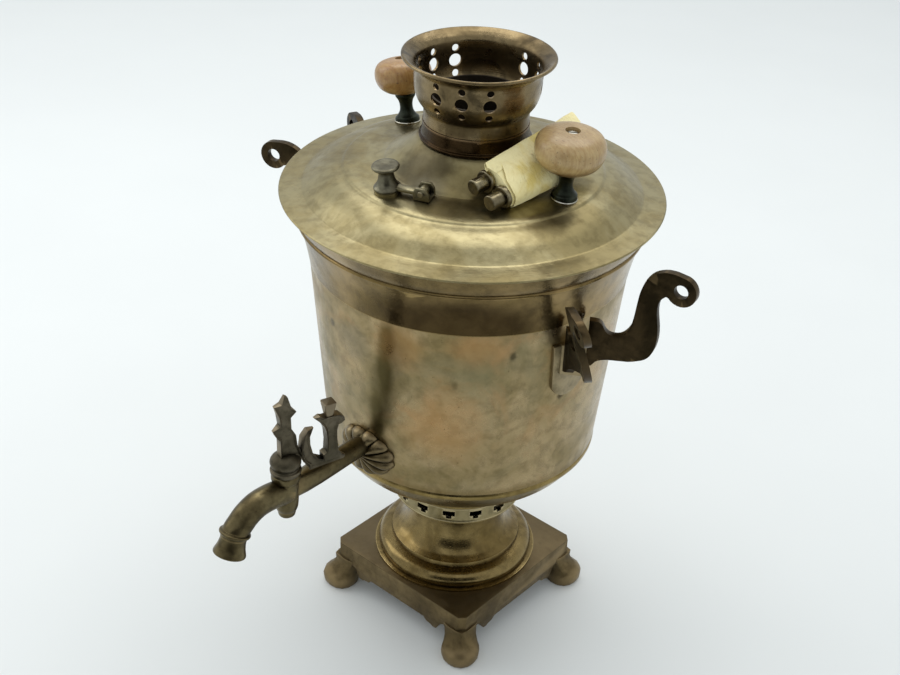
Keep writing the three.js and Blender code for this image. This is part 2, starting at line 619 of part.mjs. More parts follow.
function onLid(radius, angle, ...children) {
  const placed = group(...children);
  placed.applyMatrix4(lidPlace(radius, angle));
  return placed;
}

const lidHole = (radius, angle, size) => bar(size, 2 * (SHEET + OVERRUN), -SHEET - OVERRUN)
  .applyMatrix4(lidPlace(radius, angle));

function lid() {
  const cone = between(CONE_SHARES, LID_HOLE, STEP_RADIUS - GAP, LID_BASE + STEP_HEIGHT + GAP, LID_TOP);
  const brim = between(BRIM_SHARES, SLOPE_RADIUS, LID_RADIUS, LID_BASE, LID_BASE + SLOPE_HEIGHT);
  const outer = [...cone, [STEP_RADIUS, LID_BASE + STEP_HEIGHT], ...brim];
  const inner = outer.slice(0, -1).map(([r, z]) => [r, z - SHEET]).reverse();
  const bead = [[LID_RADIUS, LID_BASE + SHEET / 2], [LID_RADIUS, LID_BASE - SHEET / 2],
    [LID_RADIUS - SHEET, LID_BASE - SHEET / 2], [LID_RADIUS - 2 * SHEET, LID_BASE]];
  const holes = KNOB_TURNS.map((turn, i) => lidHole(KNOB_PLACES[i], turn, STEM_TAIL_RADIUS + 2 * GAP));
  const vent = lidHole(VENT_PLACE, VENT_TURN, VENT_TUBE_RADIUS + GAP);
  return piece('lid_shell', cut(turned([...outer, ...bead, ...inner]), ...holes, vent), LID_BRASS);
}

// A ring under the lid that just clears the narrowest part of the mouth it drops into
function locator() {
  const top = LID_BASE - GAP;
  const low = top - LOCATOR_DEPTH;
  const radius = Math.min(shoulderRadius(low), MOUTH_RADIUS) - SHEET - LOCATOR_PLAY;
  return piece('lid_locator', turned([[radius - SHEET, low], [radius, low], [radius, top],
    [radius - SHEET, top]]), LID_BRASS);
}

function collar() {
  const neck = COLLAR_BORE + COLLAR_WALL;
  const outer = between(COLLAR_SHARES, neck, neck + COLLAR_BEAD, COLLAR_BASE, COLLAR_TOP);
  const spigot = LID_HOLE - GAP;
  const low = LID_TOP - COLLAR_SPIGOT;
  return piece('lid_collar', turned([[COLLAR_BORE, low], [spigot, low], [spigot, COLLAR_BASE], ...outer,
    [COLLAR_BORE, COLLAR_TOP]], NECK_ROUND), CROWN_BRONZE);
}

function crown() {
  const top = CROWN_BASE + CROWN_HEIGHT;
  const bowl = between(CROWN_SHARES, CROWN_NECK, CROWN_RADIUS, CROWN_BASE, top);
  const lip = between(CROWN_LIP_SHARES, CROWN_NECK, CROWN_RADIUS, CROWN_BASE, top);
  const spigot = COLLAR_BORE - GAP;
  const low = CROWN_BASE - CROWN_SPIGOT;
  const inner = inside(bowl, SHEET).reverse();
  const shell = turned([[spigot - SHEET, low], [spigot, low], [spigot, CROWN_BASE], ...bowl, ...lip,
    ...inner.slice(0, -1), [CROWN_NECK - SHEET, CROWN_BASE], [spigot - SHEET, CROWN_BASE]],
  NECK_ROUND);
  const hole = (size, angle, height, sides) => bar(size / 2, CROWN_RADIUS, 0, sides)
    .rotateY(Math.PI / 2).translate(0, 0, CROWN_BASE + height).rotateZ(radians(angle));
  const columns = CROWN_GROUPS.flatMap((angle) => [-1, 0, 1].map((i) => angle + i * CROWN_COLUMN_STEP));
  const holes = columns.flatMap((angle) => [
    hole(CROWN_HOLE, angle, CROWN_HOLE_HEIGHT, HOLE_ROUND),
    hole(CROWN_SMALL_HOLE, angle, CROWN_HOLE_HEIGHT + CROWN_HOLE_PITCH, SLIM_ROUND),
    hole(CROWN_SMALL_HOLE, angle, CROWN_HOLE_HEIGHT - CROWN_HOLE_PITCH, SLIM_ROUND)]);
  return piece('crown', cut(shell, ...holes), CROWN_BRONZE);
}

// The hexagon or square outline of a nut
const polygon = (radius, sides) => arc(0, 0, radius, 0, 360, sides);

function nut(radius, bore, thickness) {
  return plate(polygon(radius, 6), thickness, [arc(0, 0, bore)]);
}

function washer(radius, bore, thickness, sides = MIDDLE_ROUND) {
  return plate(arc(0, 0, radius, 0, 360, sides), thickness, [arc(0, 0, bore)]);
}

// Turns a shape made along Z so that it lies along -Y at the tap's height
const alongTap = (geometry) => geometry.rotateX(Math.PI / 2).translate(0, 0, TAP_HEIGHT);

// The fluted oval rosette lies on the wall, so it bends and leans with it
function rosette() {
  const crest = between(ROSETTE_SHARES, 0, 1, ROSETTE_EDGE, ROSETTE_DEPTH);
  const dome = turned([[0, -ROSETTE_DEPTH], [1, -ROSETTE_DEPTH], ...crest, [0, ROSETTE_DEPTH]],
    2 * ROSETTE_FLUTES);
  const place = dome.attributes.position;
  for (let i = 0; i < place.count; i++) {
    const [x, y, z] = [place.getX(i), place.getY(i), place.getZ(i)];
    const wave = Math.cos(ROSETTE_FLUTES * Math.atan2(y, x)) * Math.hypot(x, y);
    const across = x * ROSETTE_WIDTH / 2;
    const bend = across ** 2 / (2 * wallRadius(TAP_HEIGHT));
    place.setZ(i, (z > 0 ? z * (1 + ROSETTE_FLUTE_SHARE * wave) : z) - bend);
  }
  dome.scale(ROSETTE_WIDTH / 2, ROSETTE_HEIGHT / 2, 1).rotateX(Math.PI / 2 + Math.atan(WALL_FLARE))
    .translate(0, -wallRadius(TAP_HEIGHT - ROSETTE_DROP), TAP_HEIGHT - ROSETTE_DROP);
  const bore = alongTap(bar(TAP_PIPE_RADIUS + GAP, TAP_REACH, 0, MIDDLE_ROUND));
  return piece('tap_rosette', cut(dome, wallCone(GAP), bore), TAP_BRONZE);
}

// The spout's centre line, from the barrel's axis to the mouth
const spoutPath = () => new THREE.CatmullRomCurve3(SPOUT_SHARES.map(([reach, rise]) => new THREE.Vector3(
  0, -TAP_REACH - reach * SPOUT_REACH, TAP_HEIGHT + rise * SPOUT_DROP)), false, 'centripetal');

function spoutTube(radius, path, sides = SMALL_ROUND) {
  const shape = new THREE.Shape(arc(0, 0, radius, 0, 360, sides).map(([x, y]) => new THREE.Vector2(x, y)));
  return new THREE.ExtrudeGeometry(shape, { steps: SPOUT_STEPS, bevelEnabled: false, extrudePath: path });
}

function tapBody() {
  const path = spoutPath();
  const end = path.getPoint(1);
  const seatRadius = wallRadius(TAP_HEIGHT);
  const tail = seatRadius - SHEET - TAP_TAIL;
  const pipe = cut(alongTap(bar(TAP_PIPE_RADIUS, TAP_REACH - tail, tail, MIDDLE_ROUND)), wallCone(GAP));
  const thread = alongTap(bar(TAP_THREAD_RADIUS, TAP_REACH - tail, tail));
  const barrel = turned([[0, BARREL_FOOT], ...between(BARREL_SHARES, 0, BARREL_RADIUS, BARREL_FOOT, BARREL_TOP),
    [0, BARREL_TOP]], MIDDLE_ROUND).translate(0, -TAP_REACH, 0);
  const atEnd = (geometry) => geometry.rotateX(Math.PI - radians(SPOUT_LEAN)).translate(end.x, end.y, end.z);
  const flare = between(MOUTH_SHARES, 0, SPOUT_MOUTH_RADIUS, 0, SPOUT_MOUTH_LENGTH);
  const mouth = atEnd(turned([[0, flare[0][1]], ...flare, [0, SPOUT_MOUTH_LENGTH]], MIDDLE_ROUND));
  const outlet = atEnd(bar(OUTLET_RADIUS, SPOUT_MOUTH_LENGTH + OVERRUN, 0));
  const bore = alongTap(bar(TAP_BORE_RADIUS, TAP_REACH - tail + OVERRUN, tail - OVERRUN));
  const [wide, narrow] = [PLUG_TOP_RADIUS + RUNNING_GAP, PLUG_FOOT_RADIUS + RUNNING_GAP];
  const seat = turned([[0, BARREL_FOOT - OVERRUN], [narrow, BARREL_FOOT - OVERRUN], [narrow, BARREL_FOOT],
    [wide, BARREL_TOP], [wide, BARREL_TOP + OVERRUN], [0, BARREL_TOP + OVERRUN]], MIDDLE_ROUND)
    .translate(0, -TAP_REACH, 0);
  const body = join(pipe, thread, barrel, spoutTube(SPOUT_RADIUS, path), mouth);
  return piece('tap_body', cut(body, bore, seat, outlet, spoutTube(TAP_BORE_RADIUS, path, HOLE_ROUND)),
    TAP_BRONZE);
}

function tapFixings() {
  const inner = wallRadius(TAP_HEIGHT) - SHEET - GAP;
  const bore = TAP_THREAD_RADIUS + GAP;
  const seat = washer(TAP_NUT_RADIUS, bore, 2 * WASHER_THICKNESS).translate(0, 0, inner);
  const pad = common(alongTap(seat), wallCone(-SHEET - GAP));
  const level = inner - WASHER_THICKNESS - GAP - NUT_THICKNESS / 2;
  const lock = alongTap(nut(TAP_NUT_RADIUS, bore, NUT_THICKNESS).translate(0, 0, level));
  return [piece('tap_seal_washer', pad, LEATHER), piece('tap_lock_nut', lock, TAP_BRONZE)];
}

const branchPlate = (shares) => plate(shares.map(([u, z]) => [u * BRANCH_LENGTH, z * BRANCH_HEIGHT]),
  BRANCH_THICKNESS).rotateX(Math.PI / 2).rotateZ(Math.PI / 2);

function key() {
  const base = BARREL_TOP + GAP;
  const ring = turned([[0, base], ...between(KEY_SHARES, 0, KEY_RING_RADIUS, base, base + KEY_RING_HEIGHT),
    [0, base + KEY_RING_HEIGHT]], MIDDLE_ROUND);
  const tail = BARREL_FOOT - GAP - KEY_NUT_HEIGHT;
  const plug = turned([[0, tail], [KEY_TAIL_RADIUS, tail], [KEY_TAIL_RADIUS, BARREL_FOOT],
    [PLUG_FOOT_RADIUS, BARREL_FOOT], [PLUG_TOP_RADIUS, BARREL_TOP], [PLUG_TOP_RADIUS, base + GAP],
    [0, base + GAP]], MIDDLE_ROUND);
  const way = bar(TAP_BORE_RADIUS, 2 * BARREL_RADIUS, -BARREL_RADIUS).rotateY(Math.PI / 2)
    .translate(0, 0, TAP_HEIGHT);
  const low = base - BRANCH_SAG;
  const branch = [STEM_BRANCH_SHARES, POST_BRANCH_SHARES].map((s) => branchPlate(s).translate(0, 0, low));
  const handle = join(ring, ...branch);
  const mesh = piece('tap_key', cut(join(handle, plug), way), TAP_BRONZE);
  const cap = turned([[KEY_TAIL_RADIUS + GAP, 0], [KEY_NUT_FOOT_RADIUS, 0],
    [KEY_NUT_RADIUS, KEY_NUT_FOOT_HEIGHT], [KEY_NUT_RADIUS, KEY_NUT_HEIGHT],
    [KEY_TAIL_RADIUS + GAP, KEY_NUT_HEIGHT]], SMALL_ROUND).translate(0, 0, tail);
  const placed = group(mesh, piece('tap_key_nut', cap, TAP_BRONZE));
  placed.position.y = -TAP_REACH;
  placed.rotation.z = radians(-KEY_TURN);
  return placed;
}

// Where the wedge's faces begin, at the front of the tongue
const wedgeFront = () => wallRadius(WEDGE_BASE + WEDGE_HEIGHT / 2) + MOUNT_THICKNESS;

// A tongue with a rounded toe that follows the wall, and a wedge whose two faces carry the arms
function handleMount(name, turn) {
  const [half, low] = [MOUNT_WIDTH / 2, MOUNT_TOE_WIDTH / 2];
  const front = wedgeFront();
  const back = wallRadius(MOUNT_BASE) - OVERRUN;
  const toe = arc(0, 0, low, 180, 360, HOLE_ROUND).map(([x, y]) => [x, MOUNT_ROUND * (1 + y / low)]);
  const tongue = plate([[-half, MOUNT_HEIGHT], ...toe, [half, MOUNT_HEIGHT]], 2 * (front - back))
    .rotateX(Math.PI / 2).rotateZ(Math.PI / 2).translate(front, 0, MOUNT_BASE);
  const side = WEDGE_WIDTH / 2;
  const outline = [[back, -side], [front, -side], [front + side, 0], [front, side], [back, side]];
  const wedge = plate(outline, WEDGE_HEIGHT).translate(0, 0, WEDGE_BASE + WEDGE_HEIGHT / 2);
  const cone = (offset) => wallCone(offset).rotateZ(radians(-turn));
  return piece(name, cut(join(common(tongue, cone(MOUNT_THICKNESS)), wedge), cone(GAP)), ARM_BRONZE);
}

// Bends a plate that lies along X so that it leaves the wedge's face squarely and then curves in,
// with its upper end leaning out and its lower end in by the given slope
function bendArm(geometry, lean) {
  const [start, end] = [radians(ARM_SPLAY), radians(ARM_END_SPLAY)];
  const radius = ARM_BEND / (start - end);
  const place = geometry.attributes.position;
  for (let i = 0; i < place.count; i++) {
    const [along, side, z] = [place.getX(i), place.getY(i), place.getZ(i)];
    const angle = start - Math.min(along, ARM_BEND) / radius;
    const rest = Math.max(along - ARM_BEND, 0);
    const x = radius * (Math.sin(start) - Math.sin(angle)) + rest * Math.cos(angle) - side * Math.sin(angle);
    const y = radius * (Math.cos(angle) - Math.cos(start)) + rest * Math.sin(angle) + side * Math.cos(angle);
    const free = Math.min(along / ARM_LEAN_START, 1);
    place.setXYZ(i, x, y + lean * free * (z - ARM_LEAN_LEVEL), z);
  }
  return geometry;
}

function handleArm(name, side, drop, lean) {
  const level = ARM_HEIGHT - ARM_EYE_DROP;
  const eye = arc(ARM_REACH, level, ARM_EYE_RADIUS, ARM_EYE_FROM, ARM_EYE_TO, SMALL_ROUND);
  const outline = [...between(ARM_SHARES, 0, ARM_REACH, 0, ARM_HEIGHT), ...eye,
    ...between(ARM_BACK_SHARES, 0, ARM_REACH, 0, ARM_HEIGHT)];
  const flat = plate(outline, ARM_THICKNESS, [arc(ARM_REACH, level, ARM_HOLE_RADIUS)]).rotateX(Math.PI / 2)
    .translate(GAP, 0, ARM_BASE);
  const arm = bendArm(flat, lean).translate(wedgeFront() + WEDGE_WIDTH / 2 - ARM_PLACE, ARM_PLACE, -drop);
  return piece(name, arm.scale(1, side, 1), ARM_BRONZE);
}

function handle(side, index) {
  const [turn, drop] = [HANDLE_TURNS[index], ARM_DROPS[index]];
  const [first, second] = ARM_LEANS[index];
  const placed = group(handleMount(`handle_mount_${side}`, turn),
    handleArm(`handle_arm_${side}_1`, -1, drop, first), handleArm(`handle_arm_${side}_2`, 1, drop, second));
  placed.rotation.z = radians(turn);
  return placed;
}

// A wooden knob on a stem that leans by its own angle, with a washer that lies on the lid's slope
function knob(side, index) {
  const [distance, turn, lean] = [KNOB_PLACES[index], KNOB_TURNS[index], KNOB_LEANS[index]];
  const [radius, height] = [KNOB_RADII[index], KNOB_HEIGHTS[index]];
  const slope = LID_SLOPE - radians(lean);
  const washerTop = GAP + STEM_WASHER_THICKNESS;
  const foot = washerTop + GAP;
  const top = foot + STEM_HEIGHT;
  const wood = top + GAP;
  const sink = wood + height - KNOB_SINK_DEPTH;
  const bore = STEM_TAIL_RADIUS + GAP;
  const spread = Math.abs(Math.tan(slope));
  const ring = washer(STEM_WASHER_RADIUS, STEM_TAIL_RADIUS + WASHER_PLAY, STEM_WASHER_THICKNESS, MIDDLE_ROUND)
    .translate(0, 0, GAP + STEM_WASHER_THICKNESS / 2).rotateY(slope);
  const shape = between(STEM_SHARES, 0, STEM_RADIUS, foot, top);
  const low = foot - STEM_RADIUS * spread;
  const post = turned([[0, low], [STEM_RADIUS, low], ...shape.slice(1), [0, top]], SMALL_ROUND);
  const under = bar(STEM_WASHER_RADIUS, STEM_WASHER_RADIUS, foot - STEM_WASHER_RADIUS).rotateY(slope);
  const tail = bar(STEM_TAIL_RADIUS, STEM_TAIL_LENGTH + foot + OVERRUN, -STEM_TAIL_LENGTH);
  const threaded = bar(KNOB_BORE, STEM_BORE_DEPTH + OVERRUN, top - STEM_BORE_DEPTH);
  const stem = cut(join(cut(post, under), tail), threaded);
  const ball = turned([[KNOB_BORE, wood], ...between(WOOD_SHARES, 0, radius, wood, wood + height),
    [KNOB_SINK_RADIUS, wood + height], [KNOB_SINK_RADIUS, sink], [KNOB_BORE, sink]], MIDDLE_ROUND);
  const headBase = sink + GAP;
  const shank = turned([[0, top - STEM_BORE_DEPTH + GAP], [SCREW_RADIUS, top - STEM_BORE_DEPTH + GAP],
    [SCREW_RADIUS, headBase], [SCREW_HEAD_RADIUS, headBase], [SCREW_HEAD_RADIUS, headBase + SCREW_HEAD_HEIGHT],
    [0, headBase + SCREW_HEAD_HEIGHT]], SMALL_ROUND);
  const slot = new THREE.BoxGeometry(SCREW_SLOT, 2 * KNOB_SINK_RADIUS, 2 * SCREW_SLOT_DEPTH)
    .rotateZ(radians(SCREW_TURN)).translate(0, 0, headBase + SCREW_HEAD_HEIGHT);
  const hold = nut(STEM_NUT_RADIUS, bore, STEM_NUT_THICKNESS)
    .translate(0, 0, -SHEET - GAP - STEM_NUT_RADIUS * spread - STEM_NUT_THICKNESS / 2);
  const leaning = group(piece(`knob_washer_${side}`, ring, STEEL),
    piece(`knob_stem_${side}`, stem, IRON), piece(`lid_knob_${side}`, ball, WOOD),
    piece(`knob_screw_${side}`, cut(shank, slot), STEEL), piece(`knob_nut_${side}`, hold, TAP_BRONZE));
  leaning.rotation.y = radians(lean);
  leaning.position.set(distance, 0, lidLevel(distance));
  const placed = group(leaning);
  placed.rotation.z = radians(turn);
  return placed;
}

function vent() {
  const seatTop = GAP + VENT_SEAT_THICKNESS;
  const capBase = seatTop + GAP;
  const footTop = GAP + VENT_FOOT_THICKNESS;
  const pinLevel = footTop + GAP + VENT_KNUCKLE_RADIUS;
  const hole = VENT_PIN_RADIUS + GAP;
  const gap = VENT_ARM_WIDTH / 2 + GAP;
  const seat = turned([[VENT_TUBE_BORE, -VENT_TUBE_LENGTH], [VENT_TUBE_RADIUS, -VENT_TUBE_LENGTH],
    [VENT_TUBE_RADIUS, GAP], [VENT_SEAT_RADIUS, GAP], [VENT_SEAT_RADIUS, seatTop], [VENT_TUBE_BORE, seatTop]],
  SMALL_ROUND);
  const bell = turned([...between(VENT_SHARES, 0, VENT_CAP_RADIUS, capBase, capBase + VENT_CAP_HEIGHT),
    [0, capBase + VENT_CAP_HEIGHT], ...between(VENT_HOLLOW_SHARES, 0, VENT_CAP_RADIUS, capBase,
      capBase + VENT_CAP_HEIGHT)], MIDDLE_ROUND);
  const arm = new THREE.BoxGeometry(VENT_ARM_LENGTH - VENT_ARM_ROOT, VENT_ARM_WIDTH, VENT_ARM_THICKNESS)
    .translate((VENT_ARM_LENGTH + VENT_ARM_ROOT) / 2, 0, pinLevel - VENT_ARM_THICKNESS / 2);
  const knuckle = bar(VENT_KNUCKLE_RADIUS, VENT_ARM_WIDTH, -VENT_ARM_WIDTH / 2).rotateX(Math.PI / 2)
    .translate(VENT_ARM_LENGTH, 0, pinLevel);
  const pinHole = bar(hole, 2 * VENT_ARM_LENGTH, -VENT_ARM_LENGTH, HOLE_ROUND).rotateX(Math.PI / 2)
    .translate(VENT_ARM_LENGTH, 0, pinLevel);
  const outer = gap + VENT_EAR_THICKNESS;
  const foot = new THREE.BoxGeometry(VENT_EAR_LENGTH, 2 * outer, VENT_FOOT_THICKNESS)
    .translate(VENT_ARM_LENGTH, 0, GAP + VENT_FOOT_THICKNESS / 2);
  const [half, top] = [VENT_EAR_LENGTH / 2, VENT_EAR_TOP / 2];
  const earLine = [[-half, 0], [half, 0], [half, VENT_EAR_SIDE], [top, VENT_EAR_HEIGHT],
    [-top, VENT_EAR_HEIGHT], [-half, VENT_EAR_SIDE]];
  const ears = [-1, 1].map((side) => plate(earLine, VENT_EAR_THICKNESS).rotateX(Math.PI / 2)
    .translate(VENT_ARM_LENGTH, side * (gap + VENT_EAR_THICKNESS / 2), GAP));
  const head = outer + GAP;
  const pin = turned([[0, -head - VENT_PIN_HEAD_LENGTH], [VENT_PIN_HEAD, -head - VENT_PIN_HEAD_LENGTH],
    [VENT_PIN_HEAD, -head], [VENT_PIN_RADIUS, -head], [VENT_PIN_RADIUS, head], [VENT_PIN_HEAD, head],
    [VENT_PIN_HEAD, head + VENT_PIN_HEAD_LENGTH], [0, head + VENT_PIN_HEAD_LENGTH]], HOLE_ROUND)
    .rotateX(Math.PI / 2).translate(VENT_ARM_LENGTH, 0, pinLevel);
  const turnedParts = group(piece('vent_seat', seat, TAP_BRONZE),
    piece('vent_cap', cut(join(bell, arm, knuckle), pinHole), TAP_BRONZE),
    piece('vent_bracket', cut(join(foot, ...ears), pinHole), TAP_BRONZE),
    piece('vent_pin', pin, TAP_BRONZE));
  turnedParts.rotation.z = radians(VENT_ARM_TURN - VENT_TURN);
  return onLid(VENT_PLACE, VENT_TURN, turnedParts);
}

function gripRod(name, side) {
  const collarBase = ROD_END_LENGTH;
  const collarTop = collarBase + ROD_COLLAR_LENGTH;
  const rod = piece(name, turned([[0, 0], [ROD_END_RADIUS, 0], [ROD_END_RADIUS, collarBase],
    [ROD_COLLAR_RADIUS, collarBase], [ROD_COLLAR_RADIUS, collarTop], [ROD_RADIUS, collarTop],
    [ROD_RADIUS, ROD_LENGTH], [0, ROD_LENGTH]], SMALL_ROUND).rotateX(-Math.PI / 2), TAP_BRONZE);
  rod.position.x = side * ROD_SPACING / 2;
  return rod;
}

function bundle() {
  const ring = (shares, y) => between(shares, 0, ROD_SPACING, 0, ROD_SPACING).map(([x, z]) => [x, y, z]);
  const roll = loft([ring(WRAP_SHARES, WRAP_START), ring(WRAP_END_SHARES, WRAP_START + WRAP_LENGTH)]);
  const holes = [-1, 1].map((side) => bar(ROD_RADIUS + GAP, 2 * ROD_LENGTH, 0).rotateX(-Math.PI / 2)
    .translate(side * ROD_SPACING / 2, 0, 0));
  const wrap = piece('paper_wrap', cut(roll, ...holes), PAPER);
  const rolled = group(gripRod('grip_rod_1', -1), gripRod('grip_rod_2', 1), wrap);
  rolled.rotation.y = radians(BUNDLE_ROLL);
  const raised = group(rolled);
  raised.rotation.x = radians(BUNDLE_RISE);
  const placed = group(raised);
  placed.rotation.z = radians(BUNDLE_TURN);
  placed.position.set(BUNDLE_X, BUNDLE_Y, BUNDLE_Z);
  return placed;
}

const samovar = group(
  base(), pedestal(), neckRing(), grate(), pan(), wall(), shoulder(), fireTube(),
  rosette(), tapBody(), ...tapFixings(), key(),
  handle('right', 0), handle('left', 1),
  lid(), locator(), collar(), knob('right', 0), knob('left', 1), vent(), bundle(),
  crown(),
);

// The frame's origin is under the middle of the whole outline
const middle = new THREE.Box3().setFromObject(samovar, true).getCenter(new THREE.Vector3());
samovar.position.set(-middle.x, -middle.y, 0);

export default samovar;
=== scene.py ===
# Looks of a charcoal samovar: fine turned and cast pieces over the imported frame, in metres.
# Outlines are in millimetres, as radius and height about the body's upright axis.
from math import atan, atan2, cos, degrees, hypot, pi, radians, sin, tan

import bmesh
import bpy
from bmesh.types import BMEdge, BMVert
from mathutils import Matrix, Vector, noise


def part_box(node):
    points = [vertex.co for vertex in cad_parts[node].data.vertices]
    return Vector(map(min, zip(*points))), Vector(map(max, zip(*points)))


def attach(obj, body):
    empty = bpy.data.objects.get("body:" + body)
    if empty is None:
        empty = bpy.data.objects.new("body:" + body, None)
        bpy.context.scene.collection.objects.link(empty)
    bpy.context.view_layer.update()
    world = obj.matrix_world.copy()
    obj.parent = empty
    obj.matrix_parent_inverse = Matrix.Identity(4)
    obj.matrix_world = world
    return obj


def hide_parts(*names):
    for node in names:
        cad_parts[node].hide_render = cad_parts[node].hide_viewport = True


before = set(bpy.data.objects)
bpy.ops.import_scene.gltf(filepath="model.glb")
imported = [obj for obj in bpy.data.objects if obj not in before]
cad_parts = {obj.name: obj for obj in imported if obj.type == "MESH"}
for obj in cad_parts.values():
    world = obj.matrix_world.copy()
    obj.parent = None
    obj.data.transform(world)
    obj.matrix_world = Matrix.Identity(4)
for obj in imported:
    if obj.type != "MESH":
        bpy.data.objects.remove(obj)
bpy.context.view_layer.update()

MM = 0.001
CORNER = True
ROUND_STEPS = 128
SMALL_STEPS = 48
SOFT_ANGLE = radians(34)
SHEET = 1.5
CAST_ANGLE = radians(35)
CUT_ANGLE = radians(75)
FACING = 0.9
WELD, CAD_WELD = 0.002, 0.01
ROUND_OVER = {"affect": "EDGES", "profile": 0.5, "material": -1}

wall_low, wall_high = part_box("body_wall")
AXIS = (wall_low + wall_high) / 2
IN_FRAME = Matrix.Translation((AXIS.x, AXIS.y, 0)) @ Matrix.Scale(MM, 4)

# Places that follow the frame's own solids
WALL_BASE = 160.3
PAN_RADIUS = 98.1
WALL_FLARE = 0.08722
LID_SLOPE = atan(3.1 / 26)
STEP_RADIUS = 60.2
STEP_LEVEL = 366.2
TAP_HEIGHT = 186.3
TAP_REACH = 175
KEY_TURN = radians(18)


def wall_radius(height):
    return PAN_RADIUS + (height - WALL_BASE) * WALL_FLARE


def lid_level(radius):
    return STEP_LEVEL - (radius - STEP_RADIUS) * tan(LID_SLOPE)


def move(x=0.0, y=0.0, z=0.0):
    return Matrix.Translation((x, y, z))


def turn(angle, axis="Z"):
    return Matrix.Rotation(radians(angle), 4, axis)


def on_lid(radius, angle, lean):
    return turn(angle) @ move(radius, 0, lid_level(radius)) @ turn(lean, "Y")


# Outlines: a flowing line through points, where a marked point stays a corner
def flowing(points, steps=5):
    runs = [[]]
    for point in points:
        place = Vector(point[:2])
        runs[-1].append(place)
        if len(point) > 2:
            runs.append([place])
    line = [runs[0][0]]
    for run in runs:
        for i in range(len(run) - 1):
            start, end = run[i], run[i + 1]
            before, after = run[max(i - 1, 0)], run[min(i + 2, len(run) - 1)]
            length = (end - start).length
            leave = (end - before) * (length / (length + (start - before).length))
            arrive = (after - start) * (length / (length + (after - end).length))
            for step in range(1, steps + 1):
                t = step / steps
                line.append(start * (2 * t ** 3 - 3 * t ** 2 + 1) + leave * (t ** 3 - 2 * t ** 2 + t)
                            + end * (3 * t ** 2 - 2 * t ** 3) + arrive * (t ** 3 - t ** 2))
    return line


def walled(line, wall=SHEET):
    """A closed outline of sheet metal whose outer face is the line, with its thickness to the left."""
    inner = []
    for i, place in enumerate(line):
        along = (line[min(i + 1, len(line) - 1)] - line[max(i - 1, 0)]).normalized()
        inner.append(place + Vector((-along.y, along.x)) * wall)
    return line + inner[::-1]


# Shapes in millimetres
def chain(points, closed=False):
    bm = bmesh.new()
    verts = [bm.verts.new((p[0], 0, p[1])) for p in points]
    pairs = list(zip(verts, verts[1:] + verts[:1])) if closed else list(zip(verts, verts[1:]))
    edges = [bm.edges.new(pair) for pair in pairs]
    return bm, verts, edges


def picked(grown, kind):
    """The verts or the edges that an extrusion made."""
    return [item for item in grown["geom"] if isinstance(item, kind)]


def tidy(bm):
    bmesh.ops.remove_doubles(bm, verts=bm.verts[:], dist=WELD)
    bmesh.ops.recalc_face_normals(bm, faces=bm.faces[:])
    return bm


def turned(outline, closed=True, steps=ROUND_STEPS):
    bm, verts, edges = chain(outline, closed)
    bmesh.ops.spin(bm, geom=verts + edges, cent=(0, 0, 0), axis=(0, 0, 1), angle=2 * pi, steps=steps,
                   use_merge=True)
    return tidy(bm)


def solid_turned(line, steps=SMALL_STEPS):
    """A turned solid: its line starts and ends on the axis."""
    return turned(line, closed=False, steps=steps)


def block(size, place, edge):
    bm = bmesh.new()
    bmesh.ops.create_cube(bm, size=1, matrix=Matrix.LocRotScale(Vector(place), None, Vector(size)))
    bmesh.ops.bevel(bm, geom=bm.edges[:], offset=edge, segments=2, **ROUND_OVER)
    return bm


def plate(outline, thickness, edge, holes=(), slices=0, sunk=None):
    """A plate in the X-Z plane, round-edged, with its thickness about y = 0 and perhaps sunk panels."""
    bm, _, edges = chain(outline, closed=True)
    for hole in holes:
        more = [bm.verts.new((p[0], 0, p[1])) for p in hole]
        edges += [bm.edges.new(pair) for pair in zip(more, more[1:] + more[:1])]
    bmesh.ops.triangle_fill(bm, use_beauty=True, use_dissolve=False, edges=edges)
    if slices:
        places = [v.co.x for v in bm.verts]
        low, high = min(places), max(places)
        for i in range(1, slices):
            bmesh.ops.bisect_plane(bm, geom=bm.verts[:] + bm.edges[:] + bm.faces[:], dist=0.01,
                                   plane_co=(low + (high - low) * i / slices, 0, 0), plane_no=(1, 0, 0))
    bmesh.ops.translate(bm, verts=bm.verts[:], vec=(0, -thickness / 2, 0))
    grown = bmesh.ops.extrude_face_region(bm, geom=bm.faces[:])
    bmesh.ops.translate(bm, verts=picked(grown, BMVert), vec=(0, thickness, 0))
    tidy(bm)
    if sunk:
        for hand in (-1, 1):
            face = [f for f in bm.faces
                    if f.normal.y * hand > FACING and f.calc_center_median().y * hand > 0]
            bmesh.ops.inset_region(bm, faces=face, thickness=sunk[0], depth=-sunk[1], use_even_offset=True)
    rim = [e for e in bm.edges if len(e.link_faces) == 2 and e.calc_face_angle() > CUT_ANGLE
           and abs(e.verts[0].co.y - e.verts[1].co.y) < thickness / 2]
    bmesh.ops.bevel(bm, geom=rim, offset=edge, segments=3, clamp_overlap=True, **ROUND_OVER)
    return tidy(bm)


def circle(x, z, radius, steps=24):
    angles = [2 * pi * i / steps for i in range(steps)]
    return [(x + radius * cos(a), z + radius * sin(a)) for a in angles]


